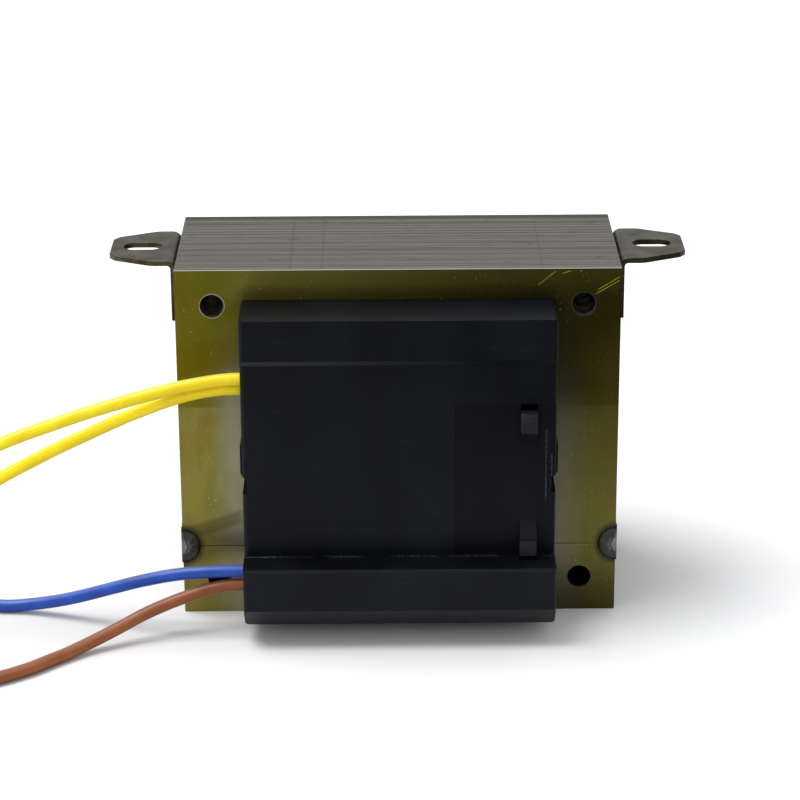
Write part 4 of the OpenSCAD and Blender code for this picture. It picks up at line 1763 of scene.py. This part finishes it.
@dataclass
class Lugs:
    """The two bent mounting lugs."""

    rounding: Rounding = Rounding(0.18 * MM)
    finish: MetalFinish = MetalFinish(
        "lug_plate",
        light=shade(90, 85, 68),
        dark=shade(54, 49, 33),
        roughness=0.34,
        cloud=5 * MM,
        grain=0.5 * MM,
        relief=0.01 * MM,
    )

    def build(self) -> None:
        """Rounds the lugs' edges and dresses them."""
        plate = self.finish.material()
        for side in ("left", "right"):
            piece = self.rounding.copy(f"mounting_lug_{side}", f"lug_{side}_pressing")
            settle(piece, plate)


@dataclass
class Coil:
    """The bobbin, its two windings, their tapes and the splices, kept as the CAD has them."""

    bobbin: PlasticFinish = PlasticFinish(
        "bobbin_plastic",
        colour=shade(150, 146, 134),
        worn=shade(172, 168, 156),
        dust=shade(200, 198, 190),
        roughness=0.4,
        gloss=0.4,
    )
    sleeve: PlasticFinish = PlasticFinish(
        "splice_sleeve",
        colour=shade(190, 186, 176),
        worn=shade(210, 206, 196),
        dust=shade(224, 222, 216),
        roughness=0.35,
        gloss=0.5,
    )
    copper: WindingFinish = WindingFinish(
        "enamelled_copper", colour=shade(176, 98, 50), groove=shade(84, 40, 20), pitch=0.45 * MM, metallic=0.8
    )
    tape: WindingFinish = WindingFinish(
        "coil_tape", colour=shade(206, 186, 110), groove=shade(168, 146, 78), pitch=8 * MM, metallic=0.0
    )

    def build(self) -> None:
        """Gives each node its finish."""
        dress_node("bobbin", self.bobbin.material())
        copper = self.copper.material()
        tape = self.tape.material()
        for winding in ("primary", "secondary"):
            dress_node(f"{winding}_winding", copper)
            dress_node(f"{winding}_tape", tape)
        sleeve = self.sleeve.material()
        for lead in ("upper_yellow", "lower_yellow", "blue", "brown"):
            dress_node(f"splice_{lead}", sleeve)


TINNED = MetalFinish(
    "tinned_copper",
    light=shade(206, 206, 204),
    dark=shade(166, 160, 150),
    roughness=0.25,
    cloud=2 * MM,
    grain=0.2 * MM,
    relief=0.01 * MM,
).material()
LEAD_MATERIALS = {colour: colour.value.material() for colour in LeadColour}

UPPER_YELLOW: tuple[Point, ...] = (
    (-30.35, -29.6, 58.9), (-37, -29.8, 58.7), (-43, -30, 57.9), (-49, -30.2, 56.7), (-55, -30.5, 55.2),
    (-61, -31, 53.6), (-67, -31.5, 51.9), (-73, -32.2, 50), (-79, -33, 48.1), (-85, -34, 46),
    (-94, -35, 42), (-104, -36, 36.5), (-113, -37, 30), (-122, -38, 22), (-130, -39, 13.5),
    (-138, -40, 6), (-147, -41.5, 2), (-157, -43, 1.4), (-167, -44, 1.4), (-176, -44.5, 1.4),
)
LOWER_YELLOW: tuple[Point, ...] = (
    (-30.35, -28.3, 56.2), (-37, -28.2, 56.1), (-43, -28.4, 55.3), (-49, -28.2, 53.6), (-55, -27.9, 51.2),
    (-61, -27.5, 48.5), (-67, -27.1, 45.5), (-73, -26.7, 42.5), (-80, -26.3, 38.7), (-87, -26, 34.7),
    (-96, -25.5, 29), (-105, -25, 22.5), (-114, -24.5, 15), (-122, -24, 8.5), (-131, -23.5, 3),
    (-140, -23, 1.4), (-149, -22.5, 1.4), (-158, -22.5, 1.4), (-168, -23, 1.4),
)
BLUE: tuple[Point, ...] = (
    (-30.35, -30, 14.3), (-38, -30, 14.2), (-44, -29.8, 13.9), (-50, -29.2, 13), (-57, -28, 11.1),
    (-63, -26.3, 8.8), (-70, -24.1, 6), (-76, -22, 3.8), (-83, -20, 2), (-89, -19.4, 1.4),
    (-98, -18.5, 1.4), (-108, -17, 1.4), (-118, -14.5, 1.4), (-128, -11, 1.4), (-138, -7, 1.4),
    (-148, -3, 1.4), (-158, 0, 1.4), (-168, 2, 1.4), (-177, 3, 1.4),
)
BROWN: tuple[Point, ...] = (
    (-30.35, -30, 11.2), (-36, -30, 11.1), (-41, -30.5, 10.4), (-46, -31.4, 9.1), (-51, -32.6, 7.6),
    (-56, -34.5, 6), (-62, -37.5, 3.8), (-68, -41.2, 2.1), (-74, -46.5, 1.4), (-79, -51.4, 1.4),
    (-85, -55.7, 1.4), (-93, -60, 1.4), (-102, -64, 1.4), (-112, -66.5, 1.4), (-122, -67.5, 1.4),
    (-132, -67.5, 1.4), (-142, -66.5, 1.4), (-152, -65, 1.4), (-162, -63.5, 1.4), (-172, -62.5, 1.4),
)


def main() -> None:
    """Builds the camera, the leads, the rest of the transformer and the stage, in that order."""
    logging.basicConfig(level=logging.INFO, format="%(name)s %(message)s")
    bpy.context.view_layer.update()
    StudioCamera().build()
    leads = (
        Lead("upper_yellow", LeadColour.YELLOW, UPPER_YELLOW),
        Lead("lower_yellow", LeadColour.YELLOW, LOWER_YELLOW),
        Lead("blue", LeadColour.BLUE, BLUE),
        Lead("brown", LeadColour.BROWN, BROWN),
    )
    for part in (*leads, Core(), Covers(), Lugs(), Coil(), Stage()):
        part.build()


if __name__ == "__main__":
    main()
